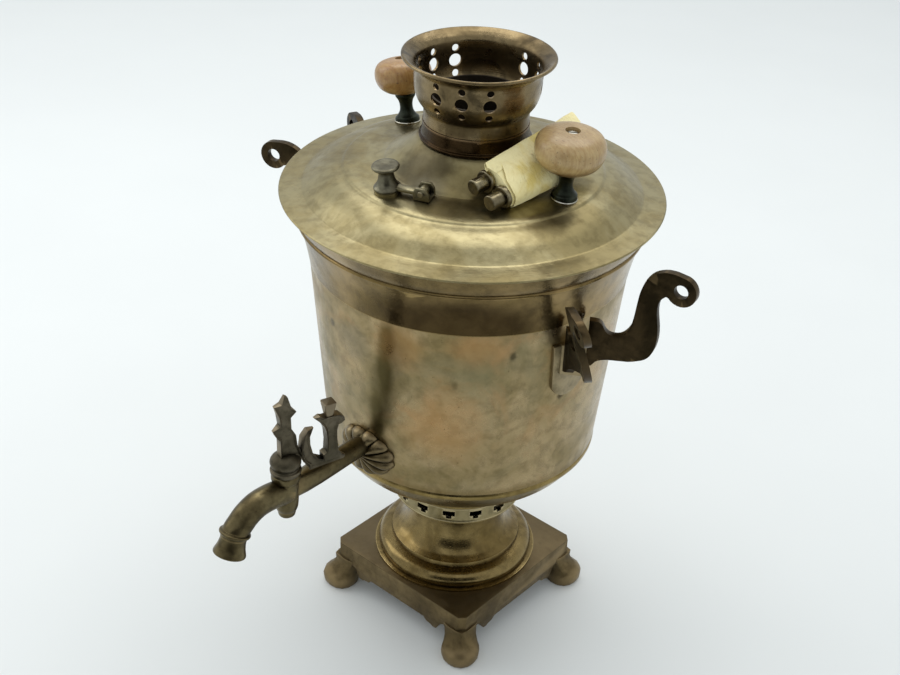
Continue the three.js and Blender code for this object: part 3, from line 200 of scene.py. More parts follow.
def swept(stations, steps=32):
    """A round bar in the Y-Z plane through stations of place, heading and radius, closed at both ends."""
    bm = bmesh.new()
    bmesh.ops.create_circle(bm, cap_ends=False, radius=1, segments=steps)
    edges, last = bm.edges[:], Matrix()
    for i, (place, heading, radius) in enumerate(stations):
        side = Vector((1, 0, 0))
        facing = Vector(heading).normalized()
        frame_at = Matrix((side, facing.cross(side), facing)).transposed().to_4x4()
        frame_at = Matrix.Translation(place) @ frame_at @ Matrix.Scale(radius, 4)
        if i:
            grown = bmesh.ops.extrude_edge_only(bm, edges=edges)
            edges, ring = picked(grown, BMEdge), picked(grown, BMVert)
        else:
            ring = bm.verts[:]
        bmesh.ops.transform(bm, matrix=frame_at @ last.inverted(), verts=ring)
        edges = [e for e in edges if e.verts[0] in ring and e.verts[1] in ring]
        last = frame_at
    bmesh.ops.holes_fill(bm, edges=bm.edges[:], sides=steps)
    return tidy(bm)


def as_mesh(bm, name):
    mesh = bpy.data.meshes.new(name)
    bm.to_mesh(mesh)
    bm.free()
    return mesh


def in_scene(name, data):
    thing = bpy.data.objects.new(name, data)
    bpy.context.scene.collection.objects.link(thing)
    return thing


def together(*parts):
    """One bmesh from several, each as a bmesh or a (bmesh, matrix) pair."""
    whole = bmesh.new()
    for part in parts:
        bm, place = part if isinstance(part, tuple) else (part, Matrix())
        bmesh.ops.transform(bm, matrix=place, verts=bm.verts[:])
        if place.determinant() < 0:
            bmesh.ops.recalc_face_normals(bm, faces=bm.faces[:])
        mesh = as_mesh(bm, "part")
        whole.from_mesh(mesh)
        bpy.data.meshes.remove(mesh)
    return whole


def bored(bm, cutter):
    """The first shape with the second cut away."""
    work, tool = [in_scene("blank", as_mesh(shape, "blank")) for shape in (bm, cutter)]
    cut = work.modifiers.new("bore", "BOOLEAN")
    cut.operation = "DIFFERENCE"
    cut.solver = "EXACT"
    cut.object = tool
    bpy.context.view_layer.update()
    result = bmesh.new()
    result.from_object(work, bpy.context.evaluated_depsgraph_get())
    for blank in (work, tool):
        mesh = blank.data
        bpy.data.objects.remove(blank)
        bpy.data.meshes.remove(mesh)
    return result


def casting(node, edge):
    """A copy of a solid of the frame with its flat faces merged and its edges rounded, in millimetres."""
    bm = bmesh.new()
    bm.from_mesh(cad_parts[node].data)
    bmesh.ops.transform(bm, matrix=IN_FRAME.inverted(), verts=bm.verts[:])
    bmesh.ops.remove_doubles(bm, verts=bm.verts[:], dist=CAD_WELD)
    bmesh.ops.dissolve_limit(bm, angle_limit=radians(1), verts=bm.verts[:], edges=bm.edges[:],
                             use_dissolve_boundaries=False, delimit=set())
    rim = [e for e in bm.edges if len(e.link_faces) == 2 and e.calc_face_angle() > CAST_ANGLE]
    bmesh.ops.bevel(bm, geom=rim, offset=edge, segments=3, clamp_overlap=True, **ROUND_OVER)
    return tidy(bm)


def made(bm, name, finish, body, stands_for, place=None):
    """Turns a shape in millimetres into a finished piece that rides on a body."""
    matrix = IN_FRAME @ (place or Matrix())
    bmesh.ops.transform(bm, matrix=matrix, verts=bm.verts[:])
    if matrix.determinant() < 0:
        bmesh.ops.recalc_face_normals(bm, faces=bm.faces[:])
    for face in bm.faces:
        face.smooth = True
    for edge in bm.edges:
        edge.smooth = len(edge.link_faces) == 2 and edge.calc_face_angle() < SOFT_ANGLE
    piece = in_scene(name, as_mesh(bm, name))
    piece.data.materials.append(finishes[finish])
    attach(piece, body)
    if stands_for:
        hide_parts(*stands_for)


# Colours as they look on a screen, from 0 to 255
def tone(red, green, blue):
    def linear(value):
        share = value / 255
        return share / 12.92 if share < 0.04045 else ((share + 0.055) / 1.055) ** 2.4
    return (linear(red), linear(green), linear(blue), 1)


class Finish:
    """The nodes of one finish."""

    def __init__(self, name, metallic):
        self.material = bpy.data.materials.new(name)
        self.material.use_nodes = True
        self.nodes = self.material.node_tree.nodes
        self.links = self.material.node_tree.links
        self.nodes.clear()
        self.shader = self.nodes.new("ShaderNodeBsdfPrincipled")
        output = self.nodes.new("ShaderNodeOutputMaterial")
        self.links.new(self.shader.outputs["BSDF"], output.inputs["Surface"])
        self.where = self.nodes.new("ShaderNodeTexCoord").outputs["Object"]
        self.shader.inputs["Metallic"].default_value = metallic
        self.normal = None

    def feed(self, socket, value):
        if isinstance(value, bpy.types.NodeSocket):
            self.links.new(value, socket)
        else:
            socket.default_value = value

    def calc(self, operation, first, second=0.0):
        node = self.nodes.new("ShaderNodeMath")
        node.operation = operation
        self.feed(node.inputs[0], first)
        self.feed(node.inputs[1], second)
        return node.outputs[0]

    def place_calc(self, operation, first, second=(0, 0, 0)):
        """A sum on places, which gives a place and a number."""
        node = self.nodes.new("ShaderNodeVectorMath")
        node.operation = operation
        self.feed(node.inputs[0], first)
        self.feed(node.inputs[1], second)
        return node.outputs

    def apart(self, place):
        node = self.nodes.new("ShaderNodeSeparateXYZ")
        self.links.new(place, node.inputs[0])
        return node.outputs

    def span(self, value, low, high, to_low=0.0, to_high=1.0):
        node = self.nodes.new("ShaderNodeMapRange")
        node.interpolation_type = "SMOOTHSTEP"
        for socket, amount in zip(node.inputs[:5], (value, low, high, to_low, to_high)):
            self.feed(socket, amount)
        return node.outputs[0]

    def stretched(self, scale, turned_by=(0, 0, 0)):
        node = self.nodes.new("ShaderNodeMapping")
        self.links.new(self.where, node.inputs["Vector"])
        node.inputs["Scale"].default_value = scale
        node.inputs["Rotation"].default_value = turned_by
        return node.outputs[0]

    def cloud(self, scale, low=0.35, high=0.65, detail=5.0, where=None, bend=0.0):
        """Noise of so many patches a metre, from 0 to 1."""
        node = self.nodes.new("ShaderNodeTexNoise")
        self.links.new(where or self.where, node.inputs["Vector"])
        node.inputs["Scale"].default_value = scale
        node.inputs["Detail"].default_value = detail
        node.inputs["Roughness"].default_value = 0.6
        node.inputs["Distortion"].default_value = bend
        return self.span(node.outputs[0], low, high)

    def rings(self, scale):
        """Turning marks about the upright axis."""
        x, y, z = self.apart(self.place_calc("SUBTRACT", self.where, (AXIS.x, AXIS.y, 0))[0])
        squares = self.calc("ADD", self.calc("MULTIPLY", x, x), self.calc("MULTIPLY", y, y))
        radius = self.calc("SQRT", squares)
        node = self.nodes.new("ShaderNodeTexNoise")
        node.noise_dimensions = "1D"
        self.links.new(self.calc("ADD", radius, z), node.inputs["W"])
        node.inputs["Scale"].default_value = scale
        node.inputs["Detail"].default_value = 4
        return self.span(node.outputs[0], 0.35, 0.65)

    def spot(self, centre, radius, ragged, squeeze=(1, 1, 1)):
        """A patch about a place in millimetres from the axis, with a ragged edge."""
        away = self.place_calc("SUBTRACT", self.where, IN_FRAME @ Vector(centre))[0]
        length = self.place_calc("LENGTH", self.place_calc("MULTIPLY", away, squeeze)[0])["Value"]
        waves = self.cloud(900 / max(radius, 1), 0.2, 0.8)
        size = radius * MM
        bent = self.calc("ADD", length, self.calc("MULTIPLY", waves, size * ragged))
        return self.span(bent, size * (1 + ragged), size * 0.55)

    def band(self, low, high, soft, ragged):
        """Full between two heights in millimetres."""
        waves = self.calc("MULTIPLY", self.cloud(60, 0.2, 0.8), ragged * MM)
        height = self.calc("ADD", self.apart(self.where)[2], waves)
        rise = self.span(height, (low - soft) * MM, low * MM)
        fall = self.span(height, high * MM, (high + soft) * MM, 1.0, 0.0)
        return self.calc("MULTIPLY", rise, fall)

    def grime_and_shade_in_crevices(self, distance):
        # Darkening from occlusion in corners and creases: grime together with painted shade
        node = self.nodes.new("ShaderNodeAmbientOcclusion")
        node.samples = 4
        node.only_local = True
        node.inputs["Distance"].default_value = distance * MM
        return self.span(node.outputs["AO"], 0.35, 0.95, 1.0, 0.0)

    def worn_edges(self):
        node = self.nodes.new("ShaderNodeNewGeometry")
        return self.span(node.outputs["Pointiness"], 0.515, 0.56)

    def share(self, value, amount):
        return self.calc("MULTIPLY", value, amount)

    def mix(self, factor, first, second):
        node = self.nodes.new("ShaderNodeMix")
        node.data_type = "RGBA"
        self.feed(node.inputs[0], factor)
        self.feed(node.inputs[6], first)
        self.feed(node.inputs[7], second)
        return node.outputs[2]

    def rise(self, height, distance, strength):
        node = self.nodes.new("ShaderNodeBump")
        node.inputs["Strength"].default_value = strength
        node.inputs["Distance"].default_value = distance * MM
        self.links.new(height, node.inputs["Height"])
        if self.normal:
            self.links.new(self.normal, node.inputs["Normal"])
        self.normal = node.outputs[0]

    def done(self, colour, roughness):
        self.feed(self.shader.inputs["Base Color"], colour)
        self.feed(self.shader.inputs["Roughness"], roughness)
        if self.normal:
            self.links.new(self.normal, self.shader.inputs["Normal"])
        return self.material


def old_metal(name, light, deep, dark, edges, low, high, clouds, spots, dents):
    """Aged brass or bronze: tarnish clouds, blotches, pits, grime and painted shade in the corners, and worn
    edges.
    """
    f = Finish(name, METALLIC.get(name, 1.0))
    dark = tone(*dark)
    wide = f.cloud(clouds, 0.36, 0.64, 6, bend=0.6)
    close = f.cloud(clouds * 5.3, 0.4, 0.68, 6, bend=0.3)
    colour = f.mix(wide, tone(*light), tone(*deep))
    colour = f.mix(f.share(close, 0.35), colour, dark)
    if name in MARKS:
        colour = MARKS[name](f, colour)
    pits = f.cloud(520, 0.66, 0.74, 2)
    few = f.cloud(70, 0.5, 0.62)
    colour = f.mix(f.share(f.calc("MULTIPLY", pits, few), spots), colour, dark)
    # Grime and painted shade in the corners, from occlusion
    colour = f.mix(f.share(f.grime_and_shade_in_crevices(4), GRIME_AND_SHADE.get(name, 0.6)), colour, dark)
    if edges:
        colour = f.mix(f.share(f.worn_edges(), 0.6), colour, tone(*edges))
    scratch = f.cloud(1, 0.5, 0.75, 3, where=f.stretched((260, 260, 2600), (0.5, 0.3, 0.2)))
    smear = f.cloud(clouds * 9, 0.3, 0.7, 4)
    roughness = f.calc("ADD", f.span(wide, 0, 1, low, (low + high) / 2),
                       f.share(f.calc("ADD", smear, scratch), (high - low) / 3))
    f.rise(f.cloud(26, 0.2, 0.8, 2), dents * 2.2, 0.5)
    f.rise(f.cloud(240, 0.3, 0.7, 3), 0.05, 0.5)
    f.rise(scratch, 0.02, 0.5)
    f.rise(pits, -0.06, 0.6)
    if name in TURNING:
        f.rise(f.rings(TURNING[name]), 0.02, 0.6)
    return f.done(colour, roughness)


PALE, SOOT = (222, 218, 205), (22, 19, 15)

# Stains and painted reflections: place, radius, depth, colour and, on a patch that is narrower one way, how
# much narrower
BODY_STAINS_AND_REFLECTION = [
    # The first three patches, a tall dark streak down the front above the tap, are a painted dark reflection;
    # the rest are stains
    ((23, -106.5, 281), 28, 0.85, (76, 66, 30), (4, 4, 1.5)),
    ((19.5, -105, 252), 38, 0.85, (78, 68, 32), (5.4, 5.4, 1)),
    ((11.5, -102.5, 214), 38, 0.85, (80, 70, 34), (5, 5, 1)),
    ((32, -104, 279), 20, 0.3, (190, 140, 84)),
    ((76.6, -77.4, 285), 20, 0.35, (188, 138, 84)),
    ((54.7, -87.3, 217), 30, 0.4, (184, 138, 84)),
    ((-6.3, -107.3, 269), 18, 0.4, (120, 114, 96)),
    ((76, -75.4, 264), 20, 0.35, (120, 122, 94)),
    ((-28.4, -103.9, 272), 3.4, 0.7, (70, 60, 40)),
    ((89.9, -60.1, 278.4), 4.4, 0.8, (64, 58, 40), (1.6, 1.6, 1)),
    ((63.7, -84.9, 256.3), 4.6, 0.6, (96, 84, 56), (2, 2, 1)),
    ((102.2, -21.7, 236.3), 3, 0.8, (58, 46, 26))]
LID_STAINS = [
    ((-2, -47, 367), 27, 0.8, (50, 44, 34), (1, 1, 0.5)),
    ((11, -62, 364), 17, 0.6, (104, 100, 86), (1, 1, 0.6)),
    ((37.8, -54, 363), 22, 0.45, (84, 74, 46), (1, 1, 0.6)),
    ((-70, -51, 366), 16, 0.35, (96, 82, 50), (1, 1, 0.6)),
    ((97.3, -9.2, 362), 4, 0.7, (84, 70, 40)),
    ((-12.7, -116.2, 350), 2.4, 0.7, (84, 70, 40))]


def patched(f, colour, stains):
    # Lays coloured patches: stains, and on the body a painted dark reflection
    for centre, radius, depth, blotch, *squeeze in stains:
        colour = f.mix(f.share(f.spot(centre, radius, 0.5, *squeeze), depth), colour, tone(*blotch))
    return colour


def body_marks(f, colour):
    """Grey-green and orange clouds, a painted dark reflection as a streak down the front, and small spots."""
    haze = f.cloud(9, 0.44, 0.66, 5, bend=1.2)
    colour = f.mix(f.share(haze, 0.4), colour, tone(124, 120, 94))
    rust = f.cloud(24, 0.5, 0.72, 5, bend=0.8)
    colour = f.mix(f.share(rust, 0.4), colour, tone(176, 136, 92))
    foot = f.band(150, 163, 6, 4)
    colour = f.mix(f.share(foot, 0.5), colour, tone(104, 84, 42))
    # Stains and spots, with the painted dark reflection down the front
    return patched(f, colour, BODY_STAINS_AND_REFLECTION)


def shoulder_painted_reflection(f, colour):
    """A painted dark reflection on the front of the hollow under the lid."""
    deep = f.spot((66, -88, 302), 76, 0.15, (1, 1, 2.6))
    # Painted dark reflection, centred where the hollow faces the camera
    return f.mix(f.share(deep, 0.8), colour, tone(36, 23, 8))


def base_marks(f, colour):
    """The flat top is left dark where nobody polishes."""
    return f.mix(f.share(f.band(39.2, 42, 0.3, 0), 0.85), colour, tone(46, 40, 29))


def lid_marks(f, colour):
    """Soot from the vent to the cone, solder round its hinge, a stain under the rods and small spots."""
    return patched(f, colour, LID_STAINS)


def crown_marks(f, colour):
    black = f.cloud(30, 0.56, 0.66, 5, bend=1.0)
    return f.mix(f.share(black, 0.5), colour, tone(*SOOT))


# Metals: light, middle, dark and worn-edge tone, least and most roughness, clouds a metre, spots, dents
METALS = (
    ("body_brass", (170, 150, 113), (142, 125, 86), (80, 68, 40), None, 0.24, 0.44, 20, 0.6, 0.3),
    ("pan_brass", (158, 137, 88), (126, 108, 64), (61, 49, 26), (150, 130, 88), 0.2, 0.38, 18, 0.6, 0.25),
    ("shoulder_brass", (150, 127, 84), (116, 98, 60), (48, 37, 21), (170, 146, 96), 0.16, 0.32, 15, 0.6, 0.25),
    ("pedestal_brass", (138, 119, 78), (112, 94, 56), (46, 37, 21), (180, 160, 112), 0.2, 0.36, 22, 0.5, 0.2),
    ("neck_brass", (155, 142, 106), (126, 112, 75), (46, 39, 24), (206, 190, 150), 0.3, 0.5, 26, 0.7, 0.2),
    ("base_bronze", (124, 107, 75), (98, 84, 58), (44, 37, 26), (156, 136, 100), 0.34, 0.55, 30, 0.6, 0.5),
    ("lid_brass", (162, 151, 114), (144, 131, 92), (92, 80, 50), (196, 180, 132), 0.28, 0.44, 24, 0.4, 0.2),
    ("crown_bronze", (136, 119, 88), (106, 91, 64), (43, 34, 22), (146, 124, 90), 0.2, 0.42, 22, 0.6, 0.2),
    ("collar_bronze", (62, 47, 29), (48, 36, 21), (22, 15, 8), (150, 124, 92), 0.22, 0.38, 26, 0.5, 0.15),
    ("tap_bronze", (112, 101, 72), (86, 76, 52), (34, 29, 19), (134, 116, 82), 0.26, 0.46, 34, 0.5, 0.3),
    ("key_bronze", (104, 96, 80), (84, 78, 63), (35, 31, 22), (150, 136, 112), 0.36, 0.55, 40, 0.5, 0.4),
    ("rosette_brass", (128, 114, 86), (104, 90, 62), (26, 21, 12), (158, 140, 108), 0.28, 0.45, 40, 0.4, 0.3),
    ("arm_bronze", (61, 50, 33), (42, 35, 22), (18, 14, 9), (112, 94, 66), 0.3, 0.5, 30, 0.5, 0.4),
    ("mount_bronze", (158, 143, 112), (128, 115, 86), (52, 45, 31), (170, 152, 118), 0.34, 0.5, 34, 0.5, 0.4),
    ("stem_iron", (62, 66, 56), (44, 48, 40), (22, 22, 18), (110, 112, 98), 0.28, 0.5, 60, 0.4, 0.3),
    ("vent_bronze", (125, 121, 102), (96, 91, 74), (40, 35, 29), (164, 154, 120), 0.28, 0.45, 50, 0.5, 0.3),
    ("rod_bronze", (150, 140, 112), (116, 106, 82), (50, 42, 30), (160, 150, 126), 0.24, 0.42, 60, 0.4, 0.2),
    ("bright_steel", PALE, (186, 182, 166), (92, 86, 70), None, 0.24, 0.4, 80, 0.3, 0.1),
    ("soot_metal", (70, 60, 46), (48, 40, 30), SOOT, None, 0.5, 0.8, 30, 0.6, 0.3),
    ("grate_iron", (60, 58, 54), (44, 42, 38), SOOT, None, 0.5, 0.75, 40, 0.5, 0.4))
MARKS = {"body_brass": body_marks, "shoulder_brass": shoulder_painted_reflection, "base_bronze": base_marks,
         "lid_brass": lid_marks, "crown_bronze": crown_marks}
TURNING = {"pedestal_brass": 900, "lid_brass": 700, "crown_bronze": 900, "collar_bronze": 1100}
# How strongly grime and painted shade darken the corners
GRIME_AND_SHADE = {"base_bronze": 0.8, "key_bronze": 0.9, "rosette_brass": 1.0}
METALLIC = {"soot_metal": 0.7, "grate_iron": 0.8}


def turned_wood(name, light, deep, band_tone, low, high):
    """Varnished wood turned on a lathe, with fine grain, a darker band and worn varnish."""
    f = Finish(name, 0.0)
    grain = f.cloud(1, 0.3, 0.7, 6, where=f.stretched((260, 900, 120)), bend=0.4)
    wide = f.cloud(45, 0.35, 0.65, 4)
    colour = f.mix(grain, tone(*light), tone(*deep))
    colour = f.mix(f.share(wide, 0.35), colour, tone(*band_tone))
    colour = f.mix(f.share(f.band(low, high, 5, 3), 0.75), colour, tone(*band_tone))
    dirt = f.cloud(600, 0.62, 0.72, 2)
    colour = f.mix(f.share(dirt, 0.5), colour, tone(60, 38, 20))
    f.rise(grain, 0.08, 0.5)
    f.rise(f.cloud(120, 0.3, 0.7, 3), 0.25, 0.4)
    f.shader.inputs["Coat Weight"].default_value = 0.35
    f.shader.inputs["Coat Roughness"].default_value = 0.22
    return f.done(colour, f.span(wide, 0, 1, 0.34, 0.5))


def old_paper():
    """Yellowed paper with creases, stains and fibres."""
    f = Finish("old_paper", 0.0)
    blotch = f.cloud(40, 0.4, 0.7, 5, bend=0.8)
    colour = f.mix(blotch, tone(248, 236, 180), tone(228, 206, 122))
    colour = f.mix(f.share(f.cloud(140, 0.6, 0.75, 4), 0.35), colour, tone(176, 150, 84))
    creases = f.cloud(1, 0.46, 0.56, 3, where=f.stretched((60, 240, 90), (0.2, 0.4, 0.9)), bend=1.5)
    f.rise(creases, 0.5, 0.5)
    f.rise(f.cloud(1800, 0.3, 0.7, 3), 0.04, 0.5)
    # Painted shade in the folds and recesses, from occlusion
    colour = f.mix(f.share(f.grime_and_shade_in_crevices(3), 0.5), colour, tone(150, 124, 66))
    return f.done(colour, f.span(blotch, 0, 1, 0.62, 0.8))


def old_leather():
    f = Finish("old_leather", 0.0)
    grain = f.cloud(700, 0.35, 0.65, 4)
    f.rise(grain, 0.1, 0.6)
    return f.done(f.mix(grain, tone(96, 62, 38), tone(60, 38, 22)), f.span(grain, 0, 1, 0.7, 0.9))


# Woods: light, middle and band tone, and where the band is
WOODS = (("right_wood", (188, 162, 112), (170, 138, 88), (92, 62, 26), 376, 390),
         ("left_wood", (168, 131, 74), (145, 102, 51), (108, 72, 33), 376, 384))
finishes = {name: old_metal(name, *row) for name, *row in METALS}
finishes.update({name: turned_wood(name, *row) for name, *row in WOODS})
finishes["old_paper"] = old_paper()
finishes["old_leather"] = old_leather()

# Turned body pieces
PEDESTAL = [(61.9, 39.9), (61.9, 41.3, CORNER), (58.2, 41.9, CORNER), (59.0, 44.2), (58.6, 47.6),
            (55.8, 51.2), (51.2, 53.0), (49.4, 53.4, CORNER), (49.2, 55.2), (48.9, 56.8, CORNER),
            (47.2, 57.8), (43.2, 60.6), (39.4, 65.5), (36.8, 72), (35.6, 79), (35.8, 85), (37.4, 90),
            (40.8, 93.2), (45.4, 94.0, CORNER), (47.9, 94.2, CORNER), (47.9, 95.2)]
PAN = [(48, 107.7), (48.3, 111), (50.5, 116.5), (56, 121.5), (64, 126), (73, 131), (81, 136), (88, 142.3),
       (93.4, 149.6), (96.2, 154.4, CORNER), (97.5, 154.9), (98.2, 156.4), (98.2, 158.4),
       (97.6, 159.7, CORNER), (96.9, 160)]
SHOULDER = [(110.2, 295.9), (110.5, 298), (111.6, 304), (114, 315), (117.6, 326.6, CORNER), (118.9, 327.4),
            (119, 328.6), (118.3, 329.6, CORNER), (120.8, 334), (123.4, 339.6), (126, 345.3)]
LID_RIM = [(127.6, 345.1), (129.4, 345.1), (130, 345.8), (129.4, 346.6), (129, 346.7), (122, 347.6),
           (115, 348.6), (113.4, 349.4), (110, 351.6), (103, 356.2), (95, 360), (88.5, 362),
           (86.9, 363, CORNER), (86.2, 363.4, CORNER), (60.2, 366.4, CORNER), (59.4, 366.9), (57.6, 368.2),
           (52, 371.5), (45, 376.6), (39.4, 381.6), (37.4, 383.0), (36.2, 383.5)]
COLLAR = [(37.2, 383.9), (37.5, 384.6), (37.3, 385.4), (36.6, 385.8, CORNER), (35.9, 386.4), (35.6, 388.4),
          (35.3, 395.3, CORNER), (33.9, 395.3, CORNER), (33.9, 379), (35.7, 379), (35.7, 383.9)]
CROWN = [(34.9, 395.6), (34.9, 403.5), (35.6, 405.4), (37.2, 407.5), (39.4, 411), (41.2, 417), (41.8, 425),
         (41.9, 430.5), (42.8, 433.6), (46, 436.6), (49.4, 438.0, CORNER), (50.2, 438.7), (50.2, 439.8),
         (49.4, 440.5), (48.6, 440.4, CORNER), (45.2, 438.4), (41.6, 435.2), (40.5, 431), (40.3, 425),
         (39.7, 417.3), (38, 411.8), (35.9, 408.8), (33.8, 406), (33.4, 403.5), (33.4, 398, CORNER),
         (32.1, 396.5), (32.1, 389), (33.5, 389), (33.5, 395.6)]
CROWN_GROUPS = (57, 178, 296)
CROWN_COLUMNS = (-25, 0, 25)
CROWN_HOLES = ((429.5, 2.4), (421, 4.35), (412.5, 2.4))
DRILL_PLACE, DRILL_LENGTH = 40, 16
WALL = [(98.1, 160.3), (98.3, 162.5), (109.7, 293.4), (109.9, 295.6)]
TUBE = [(46, 108), (31.2, 330, CORNER), (31.2, 413.7)]
PEDESTAL_WALL, BASE_EDGE = 1.6, 0.9

made(turned(walled(flowing(PEDESTAL), PEDESTAL_WALL)), "fine_pedestal", "pedestal_brass", "vessel",
     ["pedestal"])
made(turned(walled(flowing(PAN))), "fine_pan", "pan_brass", "vessel", ["body_pan"])
made(turned(walled(flowing(WALL))), "fine_wall", "body_brass", "vessel", ["body_wall"])
made(turned(walled(flowing(SHOULDER))), "fine_shoulder", "shoulder_brass", "vessel", ["body_shoulder"])
made(turned(walled(flowing(TUBE)), steps=64), "fine_fire_tube", "soot_metal", "vessel", ["fire_tube"])

# The neck is a sheet with windows, a bar over a stem, spun in single degrees
NECK_ROWS = [(48.5, 95.5), (48.6, 96.2), (48.2, 96.9), (48, 97.4), (48, 98.3), (48, 100.8), (48, 103),
             (48, 105), (48, 106.6), (48, 107.4)]
WINDOW_COUNT, WINDOW_START = 15, -33.2
STEM_HALF, BAR_HALF = 2.5, 5.5
SILL, BAR_LEVEL, LINTEL = 98.3, 100.8, 105


def neck():
    bm = turned(NECK_ROWS, closed=False, steps=360)
    pitch = 360 / WINDOW_COUNT
    open_faces = []
    for face in bm.faces:
        middle = face.calc_center_median()
        angle = (degrees(atan2(middle.y, middle.x)) + pitch / 2) % pitch - pitch / 2
        reach = STEM_HALF if middle.z < BAR_LEVEL else BAR_HALF
        if SILL < middle.z < LINTEL and abs(angle) < reach:
            open_faces.append(face)
    bmesh.ops.delete(bm, geom=open_faces, context="FACES")
    outward = sum(face.normal.dot(face.calc_center_median()) for face in bm.faces)
    if outward < 0:
        bmesh.ops.reverse_faces(bm, faces=bm.faces[:])
    bmesh.ops.solidify(bm, geom=bm.faces[:], thickness=SHEET)
    return bm


made(neck(), "fine_neck", "neck_brass", "vessel", ["neck_ring"], turn(WINDOW_START))
made(casting("base_plate", BASE_EDGE), "fine_base", "base_bronze", "vessel", ["base_plate"])

# Lid, collar and crown
made(turned(walled(flowing(LID_RIM))), "fine_lid", "lid_brass", "lid", ["lid_shell"])
made(turned(flowing(COLLAR + COLLAR[:1])[:-1], steps=96), "fine_collar", "collar_bronze", "lid",
     ["lid_collar"])


def crown():
    shell = turned(flowing(CROWN), steps=144)
    drills = []
    for angle in (g + c for g in CROWN_GROUPS for c in CROWN_COLUMNS):
        for height, radius in CROWN_HOLES:
            drill = bmesh.new()
            bmesh.ops.create_cone(drill, cap_ends=True, segments=32, radius1=radius, radius2=radius,
                                  depth=DRILL_LENGTH)
            drills.append((drill, turn(angle) @ move(DRILL_PLACE, 0, height) @ turn(90, "Y")))
    return bored(shell, together(*drills))


made(crown(), "fine_crown", "crown_bronze", "crown", ["crown"])

# Tap: pipe, barrel, spout and mouth
PIPE = [(0, 0), (8.2, 0, CORNER), (8.6, 1.5), (7.4, 3.6), (7.2, 6), (7.2, 70), (0, 70)]
BARREL = [(0, 171), (6.4, 171, CORNER), (7.6, 174.5), (8.2, 182), (8.3, 192), (8.5, 195.3, CORNER),
          (9.6, 196.4), (9.8, 198.6), (9.4, 201.0), (8.8, 201.3, CORNER), (0, 201.3)]
SPOUT_END = (-219.3, 178.0)
SPOUT_LINE = [(-175, 186.3), (-188.5, 188.9), (-200.4, 189.1), (-209.2, 186.0), (-215.5, 181.4), SPOUT_END,
              (-220.8, 174.3)]
SPOUT_RADIUS = 8.8
MOUTH = [(0, -1.2), (8.7, -1.2), (8.9, -0.4), (10.2, 0.0), (10.4, 0.9), (10.0, 1.8), (8.7, 2.7, CORNER),
         (8.6, 5.5), (9.0, 8.5), (9.6, 11), (10.6, 13.8), (10.9, 15.2), (10.6, 15.9), (9.6, 16, CORNER),
         (5.4, 15.9, CORNER), (5.2, 4), (0, 4)]
SPOUT_LEAN, PIPE_GAP = 22, 2.4


def spout():
    line = flowing(SPOUT_LINE, 4)
    stations = []
    for i, place in enumerate(line):
        along = line[min(i + 1, len(line) - 1)] - line[max(i - 1, 0)]
        stations.append(((0, place.x, place.y), (0, along.x, along.y), SPOUT_RADIUS))
    return swept(stations)


TAP_FACE = wall_radius(TAP_HEIGHT)
along_tap = move(0, -TAP_FACE - PIPE_GAP, TAP_HEIGHT) @ turn(90, "X")
mouth_place = move(0, *SPOUT_END) @ turn(180 - SPOUT_LEAN, "X")
made(together((solid_turned(flowing(PIPE)), along_tap), (solid_turned(flowing(BARREL)), move(0, -TAP_REACH)),
              spout(), (solid_turned(flowing(MOUTH)), mouth_place)), "fine_tap", "tap_bronze", "vessel",
     ["tap_body"])

# Petalled oval rosette behind the tap, bent and leaned with the wall
PETALS = 12
ROSETTE_HALF = (24, 18)
ROSETTE_LEVEL = TAP_HEIGHT - 6.6
ROSETTE_RISE, ROSETTE_RIM, ROSETTE_FOOT, ROSETTE_SINK = 8.2, 0.9, 0.3, 0.1
PETAL_DEPTH, PETAL_NOTCH, PETAL_BULGE, GROOVE_START = 0.42, 0.1, 0.6, 1.6
ROSETTE_ROWS, PETAL_STEPS = 22, 16


def hollow(x):
    """How far the round wall falls away beside the tap."""
    return x ** 2 / (2 * TAP_FACE)


def rosette():
    """A dome whose face is divided into rounded petals with deep grooves between them."""
    bm = bmesh.new()
    count = PETALS * PETAL_STEPS
    rings = []
    for row in range(ROSETTE_ROWS + 1):
        share = 1 - row / ROSETTE_ROWS
        ring = []
        for i in range(count):
            angle = 2 * pi * i / count
            petal = abs(sin(PETALS * angle / 2)) ** PETAL_BULGE
            reach = share * (1 - PETAL_NOTCH * (1 - petal) * share ** 3)
            dome = (1 - share ** 4) ** 0.5
            groove = 1 - PETAL_DEPTH * (1 - petal) * min(share * GROOVE_START, 1)
            x, y = reach * cos(angle) * ROSETTE_HALF[0], reach * sin(angle) * ROSETTE_HALF[1]
            height = ROSETTE_RIM + (ROSETTE_RISE - ROSETTE_RIM) * dome * groove
            ring.append(bm.verts.new((x, y, height - hollow(x))))
        rings.append(ring)
    foot = [bm.verts.new((v.co.x, v.co.y, ROSETTE_FOOT - hollow(v.co.x))) for v in rings[0]]
    for low, high in zip([foot] + rings, rings):
        for i in range(count):
            bm.faces.new((low[i], low[(i + 1) % count], high[(i + 1) % count], high[i]))
    bm.faces.new(foot[::-1])
    return tidy(bm)


rosette_place = (move(0, -wall_radius(ROSETTE_LEVEL) - ROSETTE_SINK, ROSETTE_LEVEL)
                 @ Matrix.Rotation(pi / 2 + atan(WALL_FLARE), 4, "X"))
made(rosette(), "fine_rosette", "rosette_brass", "vessel", ["tap_rosette"], rosette_place)

